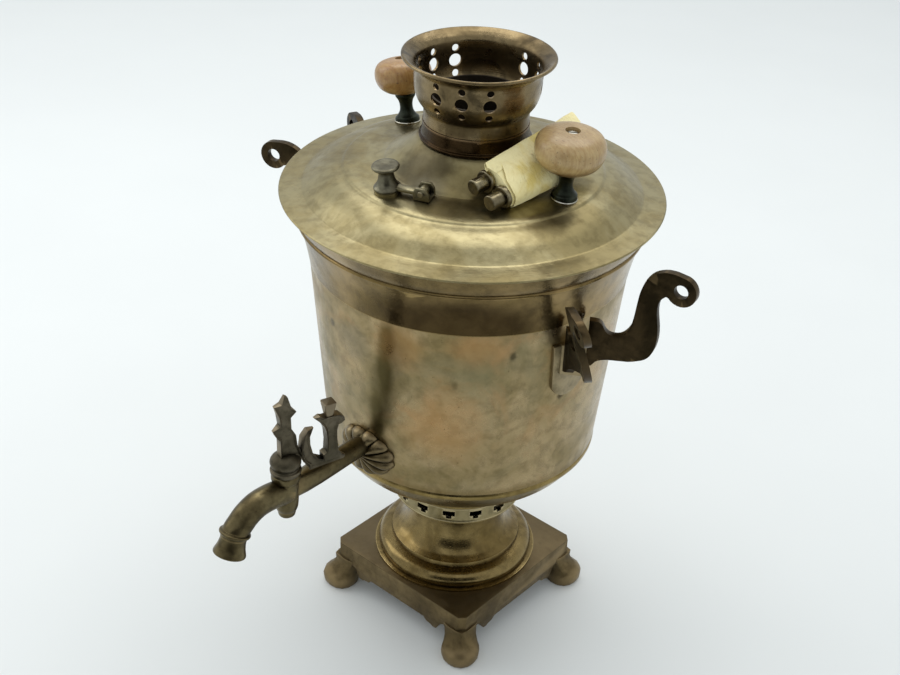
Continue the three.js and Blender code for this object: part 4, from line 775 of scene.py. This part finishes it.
# Tap key: a turned ring with two cast branches
KEY_RING = [(0, 201.6), (9.6, 201.6), (10.2, 202.5), (10.2, 204.5), (8.9, 205.5), (9.1, 206.8), (10.2, 209.1),
            (10.0, 211.5), (8.2, 214.1), (4.6, 215.8), (0, 216.1)]
BRANCH_LENGTH, BRANCH_HEIGHT, BRANCH_THICKNESS, BRANCH_BASE = 43, 63.3, 6.6, 199.7
BRANCH_EDGE, BRANCH_PANEL = 0.9, (1.5, 1.3)
STEM_BRANCH = [(-0.1, 0.2), (-0.1, 0.41), (-0.1, 0.46), (-0.15, 0.5), (-0.2, 0.58), (-0.12, 0.615),
               (-0.09, 0.63), (-0.11, 0.75), (-0.17, 0.87), (-0.06, 0.885), (0, 0.975), (0.05, 0.95),
               (0.09, 0.83), (0.19, 0.745), (0.08, 0.71), (0.08, 0.58), (0.15, 0.49), (0.17, 0.36),
               (0.3, 0.12), (0.41, 0.05), (0.38, 0), (0.34, 0.04), (0.27, 0.12), (0.16, 0.24)]
POST_BRANCH = [(0.36, 0), (0.96, 0), (0.99, 0.03), (0.92, 0.06), (0.85, 0.14), (0.83, 0.3), (0.83, 0.4),
               (0.86, 0.46), (0.93, 0.455), (0.985, 0.47), (0.96, 0.53), (0.9, 0.57), (0.82, 0.585),
               (0.62, 0.585), (0.56, 0.61), (0.47, 0.6), (0.54, 0.555), (0.61, 0.49), (0.65, 0.42),
               (0.67, 0.28), (0.66, 0.15), (0.6, 0.13), (0.6, 0.07), (0.5, 0.11), (0.42, 0.2), (0.38, 0.32),
               (0.38, 0.41), (0.46, 0.49), (0.35, 0.485), (0.27, 0.4), (0.24, 0.26), (0.28, 0.14),
               (0.33, 0.06)]
STEM_TIPS = [(-0.2, 0.58), (-0.17, 0.88), (0.02, 0.97), (0.19, 0.745)]
POST_TIPS = [(0.99, 0.46), (0.47, 0.6), (0.46, 0.49), (1.0, 0.02)]
TIP_REACH, TIP_THIN = 7, 0.3
PEG_PLACE, PEG_LOW, PEG_HIGH, PEG_HEIGHT = (31.0, 235.5), 3.5, 6.1, 11.6
PEG_CORNER, PEG_RIM = 1.2, 0.6
KEY_NUT = [(0, 166.4), (3.4, 166.2), (5.2, 167), (5.8, 168.6), (5.8, 170.6), (0, 170.6)]
key_place = move(0, -TAP_REACH) @ Matrix.Rotation(-KEY_TURN, 4, "Z")


def branch(shares, tips):
    """A cast branch with sunk panels in its faces, thinned towards the tips of its leaves."""
    def placed(points):
        return [(u * BRANCH_LENGTH, z * BRANCH_HEIGHT + BRANCH_BASE) for u, z in points]
    bm = plate(placed(shares), BRANCH_THICKNESS, BRANCH_EDGE, sunk=BRANCH_PANEL)
    for v in bm.verts:
        near = min(hypot(v.co.x - x, v.co.z - z) for x, z in placed(tips))
        v.co.y *= min(1, TIP_THIN + (1 - TIP_THIN) * near / TIP_REACH)
    return bm


def peg():
    """The square, tapered head of the post."""
    bm = bmesh.new()
    bmesh.ops.create_cone(bm, cap_ends=True, segments=4, radius1=PEG_LOW, radius2=PEG_HIGH, depth=PEG_HEIGHT)
    upright = [e for e in bm.edges if abs(e.verts[0].co.z - e.verts[1].co.z) > 1]
    bmesh.ops.bevel(bm, geom=upright, offset=PEG_CORNER, segments=4, **ROUND_OVER)
    top = [e for e in bm.edges if min(v.co.z for v in e.verts) > PEG_HEIGHT / 2 - 0.1]
    bmesh.ops.bevel(bm, geom=top, offset=PEG_RIM, segments=2, **ROUND_OVER)
    return bm


made(together(solid_turned(flowing(KEY_RING)), (branch(STEM_BRANCH, STEM_TIPS), turn(90)),
              (branch(POST_BRANCH, POST_TIPS), turn(90)),
              (peg(), move(0, PEG_PLACE[0], PEG_PLACE[1] + PEG_HEIGHT / 2) @ turn(45))),
     "fine_key", "key_bronze", "tap_key", ["tap_key"], key_place)
made(solid_turned(flowing(KEY_NUT)), "fine_key_nut", "tap_bronze", "tap_key", ["tap_key_nut"],
     key_place)

# Handles: cast mounts, and flat S-shaped arms bent along their reach
# Side, heading and how much lower it sits
HANDLES = (("right", -10.5, 0), ("left", 177, 4))
MOUNT_EDGE, ARM_EDGE, ARM_GAP, ARM_SLICES, EYE_STEPS = 0.8, 1.2, 0.3, 16, 16
ARM_ROOT, ARM_PLACE, ARM_THICKNESS = 113.31, 8.4, 5
ARM_SPLAY, ARM_END_SPLAY, ARM_BEND = radians(45), radians(20), 60
ARM_FRONT = [(0, 262.4), (3.7, 262.6), (6.2, 265.8), (9.9, 267.6), (14.2, 268.5), (27.5, 269.8), (34, 272),
             (38.5, 274.3), (41.8, 278.1), (44, 283.7), (45, 291), (44.6, 299), (42.9, 309), (42.7, 315.4),
             (44, 320.3), (47.2, 323.6)]
ARM_BACK = [(51.7, 340.7), (46.3, 340.5), (41.7, 339.1), (37.7, 336.8), (34.1, 332.6), (31.5, 327),
            (29.9, 320), (28.5, 306.4), (27.6, 300), (26.4, 295.4), (23.7, 290.8), (20.3, 287.9),
            (16.1, 287.2), (12.8, 288.1), (10.4, 290.6), (8.5, 294.1), (6.2, 296), (0, 296.6)]
EYE_PLACE, EYE_RADIUS, EYE_HOLE = (56.6, 329.7), 10.3, 4.8
EYE_FROM, EYE_TO = -140, 75
LEAN_START, LEAN_LEVEL, LEANS = 22, 310, {("right", 1): 0.36}


def bent_arm(bm, lean):
    bend = ARM_BEND / (ARM_SPLAY - ARM_END_SPLAY)
    for v in bm.verts:
        along, side = v.co.x, v.co.y
        angle = ARM_SPLAY - min(along, ARM_BEND) / bend
        rest = max(along - ARM_BEND, 0)
        v.co.x = bend * (sin(ARM_SPLAY) - sin(angle)) + rest * cos(angle) - side * sin(angle)
        v.co.y = bend * (cos(angle) - cos(ARM_SPLAY)) + rest * sin(angle) + side * cos(angle)
        v.co.y += lean * min(along / LEAN_START, 1) * (v.co.z - LEAN_LEVEL)
    return tidy(bm)


def arm(lean):
    angles = [radians(EYE_FROM + (EYE_TO - EYE_FROM) * i / EYE_STEPS) for i in range(EYE_STEPS + 1)]
    eye = [Vector(EYE_PLACE) + EYE_RADIUS * Vector((cos(a), sin(a))) for a in angles]
    outline = flowing(ARM_FRONT, 2) + eye + flowing(ARM_BACK, 2)
    flat = plate(outline, ARM_THICKNESS, ARM_EDGE, [circle(*EYE_PLACE, EYE_HOLE)], slices=ARM_SLICES)
    return bent_arm(flat, lean)


for side, heading, drop in HANDLES:
    made(casting(f"handle_mount_{side}", MOUNT_EDGE), f"fine_mount_{side}", "mount_bronze", "vessel",
         [f"handle_mount_{side}"])
    for number, hand in ((1, -1), (2, 1)):
        place = turn(heading) @ Matrix.Diagonal((1, hand, 1, 1)) @ move(ARM_ROOT + ARM_GAP, ARM_PLACE, -drop)
        name = f"arm_{side}_{number}"
        made(arm(LEANS.get((side, number), 0)), f"fine_{name}", "arm_bronze", "vessel", [f"handle_{name}"],
             place)

# Wooden knobs on leaning stems
# Side, distance and heading on the lid, lean, radius, height and wood
KNOBS = (("right", 74.8, 0.8, 3, 22.8, 27.3, "right_wood"),
         ("left", 79.6, 166.6, 12, 20, 24.5, "left_wood"))
STEM_RADIUS, STEM_FOOT, STEM_SOLE, STEM_HEIGHT, WOOD_GAP = 8.4, 1.5, 0.5, 18.3, 0.3
KNOB_WASHER = [(3.9, 0.3), (8.8, 0.3), (9.1, 0.75), (8.8, 1.2), (3.9, 1.2)]
STEM_SHARES = [(0, -0.06), (1, -0.06), (1.02, 0.05), (0.97, 0.12), (0.78, 0.2), (0.58, 0.36), (0.54, 0.56),
               (0.63, 0.76), (0.82, 0.9), (0.84, 0.96), (0.8, 1), (0, 1)]
WOOD_SHARES = [(0, 0), (0.33, 0), (0.62, 0.06), (0.86, 0.21), (0.975, 0.4), (1, 0.55), (0.965, 0.73),
               (0.84, 0.88), (0.6, 0.965), (0.26, 1, CORNER)]
SINK_RADIUS, SINK_DEPTH = 4.9, 4.4
SCREW_RADIUS, SCREW_BASE, SCREW_TOP = 4.6, 0.3, 2.7
SLOT_WIDTH, SLOT_DEPTH, SLOT_EDGE = 1.0, 2.2, 0.05
SCREW_LINE = [(0, 0), (1, 0), (1, 1.2), (0.86, 2.1), (0.5, SCREW_TOP), (0, SCREW_TOP)]
# The heading at which a screw slot lies level in the picture
PICTURE_LEVEL = 41.5


def stem(foot_slope):
    bm = solid_turned(flowing([(r * STEM_RADIUS, STEM_FOOT + z * STEM_HEIGHT) for r, z in STEM_SHARES]))
    for v in bm.verts:
        if v.co.z < STEM_FOOT + STEM_SOLE:
            v.co.z -= v.co.x * tan(foot_slope)
    return bm


def wood(radius, height):
    line = [(r * radius, z * height, *rest) for r, z, *rest in WOOD_SHARES]
    floor_level = height - SINK_DEPTH
    line += [(SINK_RADIUS, height, CORNER), (SINK_RADIUS, floor_level, CORNER), (0, floor_level)]
    return solid_turned(flowing(line), 64)


def screw(slot_turn):
    head = solid_turned(flowing([(r * SCREW_RADIUS, z) for r, z in SCREW_LINE]), 32)
    slot = block((3 * SCREW_RADIUS, SLOT_WIDTH, SLOT_DEPTH), (0, 0, SCREW_TOP), SLOT_EDGE)
    bmesh.ops.transform(slot, matrix=turn(slot_turn), verts=slot.verts[:])
    return bored(head, slot)


for side, distance, heading, lean, radius, height, finish in KNOBS:
    place = on_lid(distance, heading, lean)
    slope = LID_SLOPE - radians(lean)
    made(turned(KNOB_WASHER, steps=SMALL_STEPS), f"fine_washer_{side}", "bright_steel", "lid",
         [f"knob_washer_{side}"], on_lid(distance, heading, degrees(LID_SLOPE)))
    made(stem(slope), f"fine_stem_{side}", "stem_iron", "lid", [f"knob_stem_{side}"], place)
    top = STEM_FOOT + STEM_HEIGHT + WOOD_GAP
    made(wood(radius, height), f"fine_wood_{side}", finish, "lid", [f"lid_knob_{side}"],
         place @ move(z=top))
    made(screw(PICTURE_LEVEL - heading), f"fine_screw_{side}", "bright_steel", "lid", [f"knob_screw_{side}"],
         place @ move(z=top + height - SINK_DEPTH + SCREW_BASE))

# Steam vent: a bell cap on an arm that turns on a pin
VENT_PLACE = on_lid(73.2, -98, degrees(LID_SLOPE)) @ turn(115)
VENT_BASE, VENT_HEIGHT, VENT_RADIUS = 1.8, 17.2, 9
VENT_BELL = [(0, 0.02), (0.97, 0), (1, 0.04), (0.98, 0.1), (0.84, 0.17), (0.66, 0.34), (0.56, 0.56),
             (0.54, 0.73), (0.63, 0.8), (0.93, 0.86), (1, 0.92), (0.93, 0.985), (0.6, 0.99), (0, 0.975)]
VENT_SEAT = [(2.6, -9), (4.2, -9), (4.2, 0.3), (8.6, 0.3), (8.6, 1.5), (2.6, 1.5)]
TAIL_START, TAIL_REACH, TAIL_WIDTH, TAIL_DEPTH, TAIL_EDGE = 7, 26, 6, 2.8, 0.6
PIN_LEVEL, BRACKET_EDGE = 5.1, 0.4
KNUCKLE = [(0, -3), (2.8, -3), (3, -2.7), (3, 2.7), (2.8, 3), (0, 3)]
PIN_HALF = [(1.2, 5.3), (2, 5.3), (2, 5.8), (1.6, 6.2), (0, 6.2)]
PIN = [(r, -z) for r, z in PIN_HALF[::-1]] + PIN_HALF
bell = [(r * VENT_RADIUS, VENT_BASE + z * VENT_HEIGHT) for r, z in VENT_BELL]
across = move(TAIL_REACH, 0, PIN_LEVEL) @ turn(90, "X")
tail = block((TAIL_REACH - TAIL_START, TAIL_WIDTH, TAIL_DEPTH),
             ((TAIL_REACH + TAIL_START) / 2, 0, PIN_LEVEL - TAIL_DEPTH / 2), TAIL_EDGE)
made(together(solid_turned(flowing(bell)), tail, (solid_turned(KNUCKLE, 32), across)),
     "fine_vent_cap", "vent_bronze", "vent_cap", ["vent_cap"], VENT_PLACE)
made(turned(VENT_SEAT, steps=SMALL_STEPS), "fine_vent_seat", "vent_bronze", "lid",
     ["vent_seat"], VENT_PLACE)
made(casting("vent_bracket", BRACKET_EDGE), "fine_vent_bracket", "vent_bronze", "lid", ["vent_bracket"])
made(solid_turned(PIN, 24), "fine_vent_pin", "rod_bronze", "lid", ["vent_pin"],
     VENT_PLACE @ across)

# Two grip rods in a fold of paper, against the right knob
BUNDLE = move(48.9, -51, 374.6) @ turn(-6) @ turn(5, "X") @ turn(20, "Y")
ROD = [(0, 0.2), (4.4, 0), (5, 0.6), (5, 10, CORNER), (7.0, 10.1), (7.4, 10.8), (7.4, 12.8),
       (6.9, 13.4, CORNER), (4, 13.4, CORNER), (4, 96), (0, 96)]
ROD_SPACING = 15.4
for number, hand in ((1, -1), (2, 1)):
    made(solid_turned(flowing(ROD), 32), f"fine_rod_{number}", "rod_bronze", "lid", [f"grip_rod_{number}"],
         BUNDLE @ move(hand * ROD_SPACING / 2) @ turn(-90, "X"))

WRAP_NEAR = [(0.95, -0.24), (0.88, 0.2), (0.39, 0.49), (-0.26, 0.66), (-0.64, 0.66), (-0.84, 0.46),
             (-0.86, 0.06), (-0.74, -0.24), (-0.39, -0.37), (0.58, -0.37)]
WRAP_FAR = [(0.95, -0.24), (0.88, 0.2), (0.39, 0.5), (-0.26, 0.7), (-0.72, 0.72), (-1.0, 0.5), (-1.0, 0.1),
            (-0.84, -0.2), (-0.39, -0.37), (0.58, -0.37)]
WRAP_START, WRAP_LENGTH, ROWS, SHEET_STEPS, PAPER_THICKNESS = 13.9, 78, 20, 8, 0.35
CREASE, WRINKLE, WRAP_BENDS, SHEET_BENDS = 0.09, 0.35, 0.5, 0.55
FLAP = [(-9.8, 11.9), (-4.0, 11.9), (6.2, 9.3), (14.7, 4.3), (15.9, -3.4), (14.0, -6.2)]
FLAP_START, FLAP_SKEW, FLAP_TURN, FLAP_END = 15.2, 0.47, 4.5, 91.5
FOLD = [(-3.5, 10.7), (-8.5, 12.2), (-12.4, 12.2), (-13.6, 10.4), (-12.2, 8.9), (-8.4, 8.8)]
FOLD_START, FOLD_SKEW, FOLD_MIDDLE, FOLD_END, FOLD_SPREAD, FOLD_LIFT = 9.4, 0.64, -9, 94, -5.4, 2.4


def crumpled(place, depth):
    """Small bends of a handled sheet of paper, which come out a little different in each run."""
    wide = noise.noise_vector(Vector(place) * CREASE) * depth
    return wide + noise.noise_vector(Vector(place) * WRINKLE) * depth / 4


def drawn(bm, edges):
    """Rows of a strip, one millimetre apart, from its first line."""
    for _ in range(ROWS):
        grown = bmesh.ops.extrude_edge_only(bm, edges=edges)
        edges = picked(grown, BMEdge)
        bmesh.ops.translate(bm, verts=picked(grown, BMVert), vec=(0, 1, 0))


def wrap():
    """The inner turns of the paper, as one roll."""
    near = [p * ROD_SPACING for p in flowing(WRAP_NEAR + WRAP_NEAR[:1], 4)[:-1]]
    far = [p * ROD_SPACING for p in flowing(WRAP_FAR + WRAP_FAR[:1], 4)[:-1]]
    bm, _, edges = chain(near, closed=True)
    drawn(bm, edges)
    for v in bm.verts:
        index = min(range(len(near)), key=lambda k: (near[k].x - v.co.x) ** 2 + (near[k].y - v.co.z) ** 2)
        share = v.co.y / ROWS
        spot = near[index].lerp(far[index], share)
        v.co = Vector((spot.x, WRAP_START + WRAP_LENGTH * share, spot.y))
        v.co += crumpled(v.co, WRAP_BENDS)
    bmesh.ops.holes_fill(bm, edges=bm.edges[:], sides=len(near))
    return tidy(bm)


def sheet(line, start, end, spread=0.0, lift=0.0):
    """A loose sheet over the roll; start gives its near end for each place across."""
    bm, _, edges = chain(flowing(line, SHEET_STEPS))
    drawn(bm, edges)
    for v in bm.verts:
        share = v.co.y / ROWS
        first = start(v.co.x)
        v.co.y = first + (end - first) * share
        v.co.x += spread * share
        v.co.z += lift * share
        v.co += crumpled(v.co, SHEET_BENDS)
    bmesh.ops.recalc_face_normals(bm, faces=bm.faces[:])
    bmesh.ops.solidify(bm, geom=bm.faces[:], thickness=PAPER_THICKNESS)
    return tidy(bm)


flap = sheet(FLAP, lambda x: FLAP_START + FLAP_SKEW * max(FLAP_TURN - x, 0), FLAP_END)
fold = sheet(FOLD, lambda x: FOLD_START + FOLD_SKEW * abs(x - FOLD_MIDDLE), FOLD_END, FOLD_SPREAD,
             FOLD_LIFT)
made(wrap(), "fine_wrap", "old_paper", "lid", ["paper_wrap"], BUNDLE)
made(flap, "fine_wrap_flap", "old_paper", "lid", (), BUNDLE)
made(fold, "fine_wrap_fold", "old_paper", "lid", (), BUNDLE)

# Solids of the frame that keep their shape
PLAIN = {"fire_grate": "grate_iron", "lid_locator": "lid_brass", "tap_seal_washer": "old_leather",
         "tap_lock_nut": "tap_bronze", "knob_nut_right": "tap_bronze", "knob_nut_left": "tap_bronze"}
for node, finish in PLAIN.items():
    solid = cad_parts[node]
    solid.data.materials.clear()
    solid.data.materials.append(finishes[finish])


# Floor, light and camera, in metres
CAMERA_PLACE = Vector((0.551186, -0.618207, 0.770300))
CAMERA_RIGHT = Vector((0.7478, 0.6628, 0.0382))
CAMERA_UP = Vector((-0.3767, 0.3762, 0.8465))
LENS, SENSOR = 57.18, 36
FLOOR_HALF = 6
SKY, SKY_STRENGTH = (0.94, 0.98, 1, 1), 0.8
CLOTH_AWAY, CLOTH_LEVEL, CLOTH_HALF = 1.7, 0.62, (1.15, 0.6)


def square(name, size, material):
    bm = bmesh.new()
    bmesh.ops.create_grid(bm, x_segments=1, y_segments=1, size=size)
    face = in_scene(name, as_mesh(bm, name))
    face.data.materials.append(material)
    return face


def floor():
    f = Finish("floor_paint", 0.0)
    mottle = f.cloud(3, 0.3, 0.7, 3)
    ground = square("floor", FLOOR_HALF, f.done(f.mix(mottle, tone(226, 229, 228), tone(224, 227, 226)), 0.9))


def soft_light(name, place, aim, size, power):
    data = bpy.data.lights.new(name, "AREA")
    data.shape = "RECTANGLE"
    data.size, data.size_y = size
    data.energy = power
    lamp = in_scene(name, data)
    lamp.location = place
    lamp.rotation_euler = (Vector(aim) - Vector(place)).to_track_quat("-Z", "Y").to_euler()


def camera():
    data = bpy.data.cameras.new("camera")
    data.lens = LENS
    data.sensor_width = SENSOR
    data.clip_start = 0.05
    back = CAMERA_RIGHT.cross(CAMERA_UP).normalized()
    up = back.cross(CAMERA_RIGHT).normalized()
    right = CAMERA_RIGHT.normalized()
    matrix = Matrix((right, up, back)).transposed().to_4x4()
    matrix.translation = CAMERA_PLACE
    eye = in_scene("camera", data)
    eye.matrix_world = matrix
    bpy.context.scene.camera = eye


def sky():
    world = bpy.data.worlds.new("studio")
    world.use_nodes = True
    back = world.node_tree.nodes["Background"]
    back.inputs["Color"].default_value = SKY
    back.inputs["Strength"].default_value = SKY_STRENGTH
    bpy.context.scene.world = world


def dark_side():
    """A dark cloth behind the camera, which shows only in what the metal mirrors."""
    f = Finish("dark_cloth", 0.0)
    cloth = square("dark_side", 1, f.done(f.mix(f.cloud(3), tone(30, 28, 24), tone(44, 40, 34)), 0.95))
    facing = Vector((CAMERA_PLACE.x, CAMERA_PLACE.y, 0)).normalized()
    cloth.matrix_world = Matrix.LocRotScale(facing * CLOTH_AWAY + Vector((0, 0, CLOTH_LEVEL)),
                                            facing.to_track_quat("Z", "Y"), Vector((*CLOTH_HALF, 1)))
    cloth.visible_camera = False
    cloth.visible_shadow = False
    cloth.visible_diffuse = False


floor()
sky()
dark_side()
camera()
soft_light("overhead", place=(-0.35, 0.55, 1.7), aim=(0, 0.05, 0.2), size=(1.6, 1.2), power=14)
soft_light("window", place=(-1.3, -0.5, 1.1), aim=(0, 0, 0.25), size=(0.9, 1.2), power=5)
bpy.context.scene.view_settings.view_transform = "Standard"
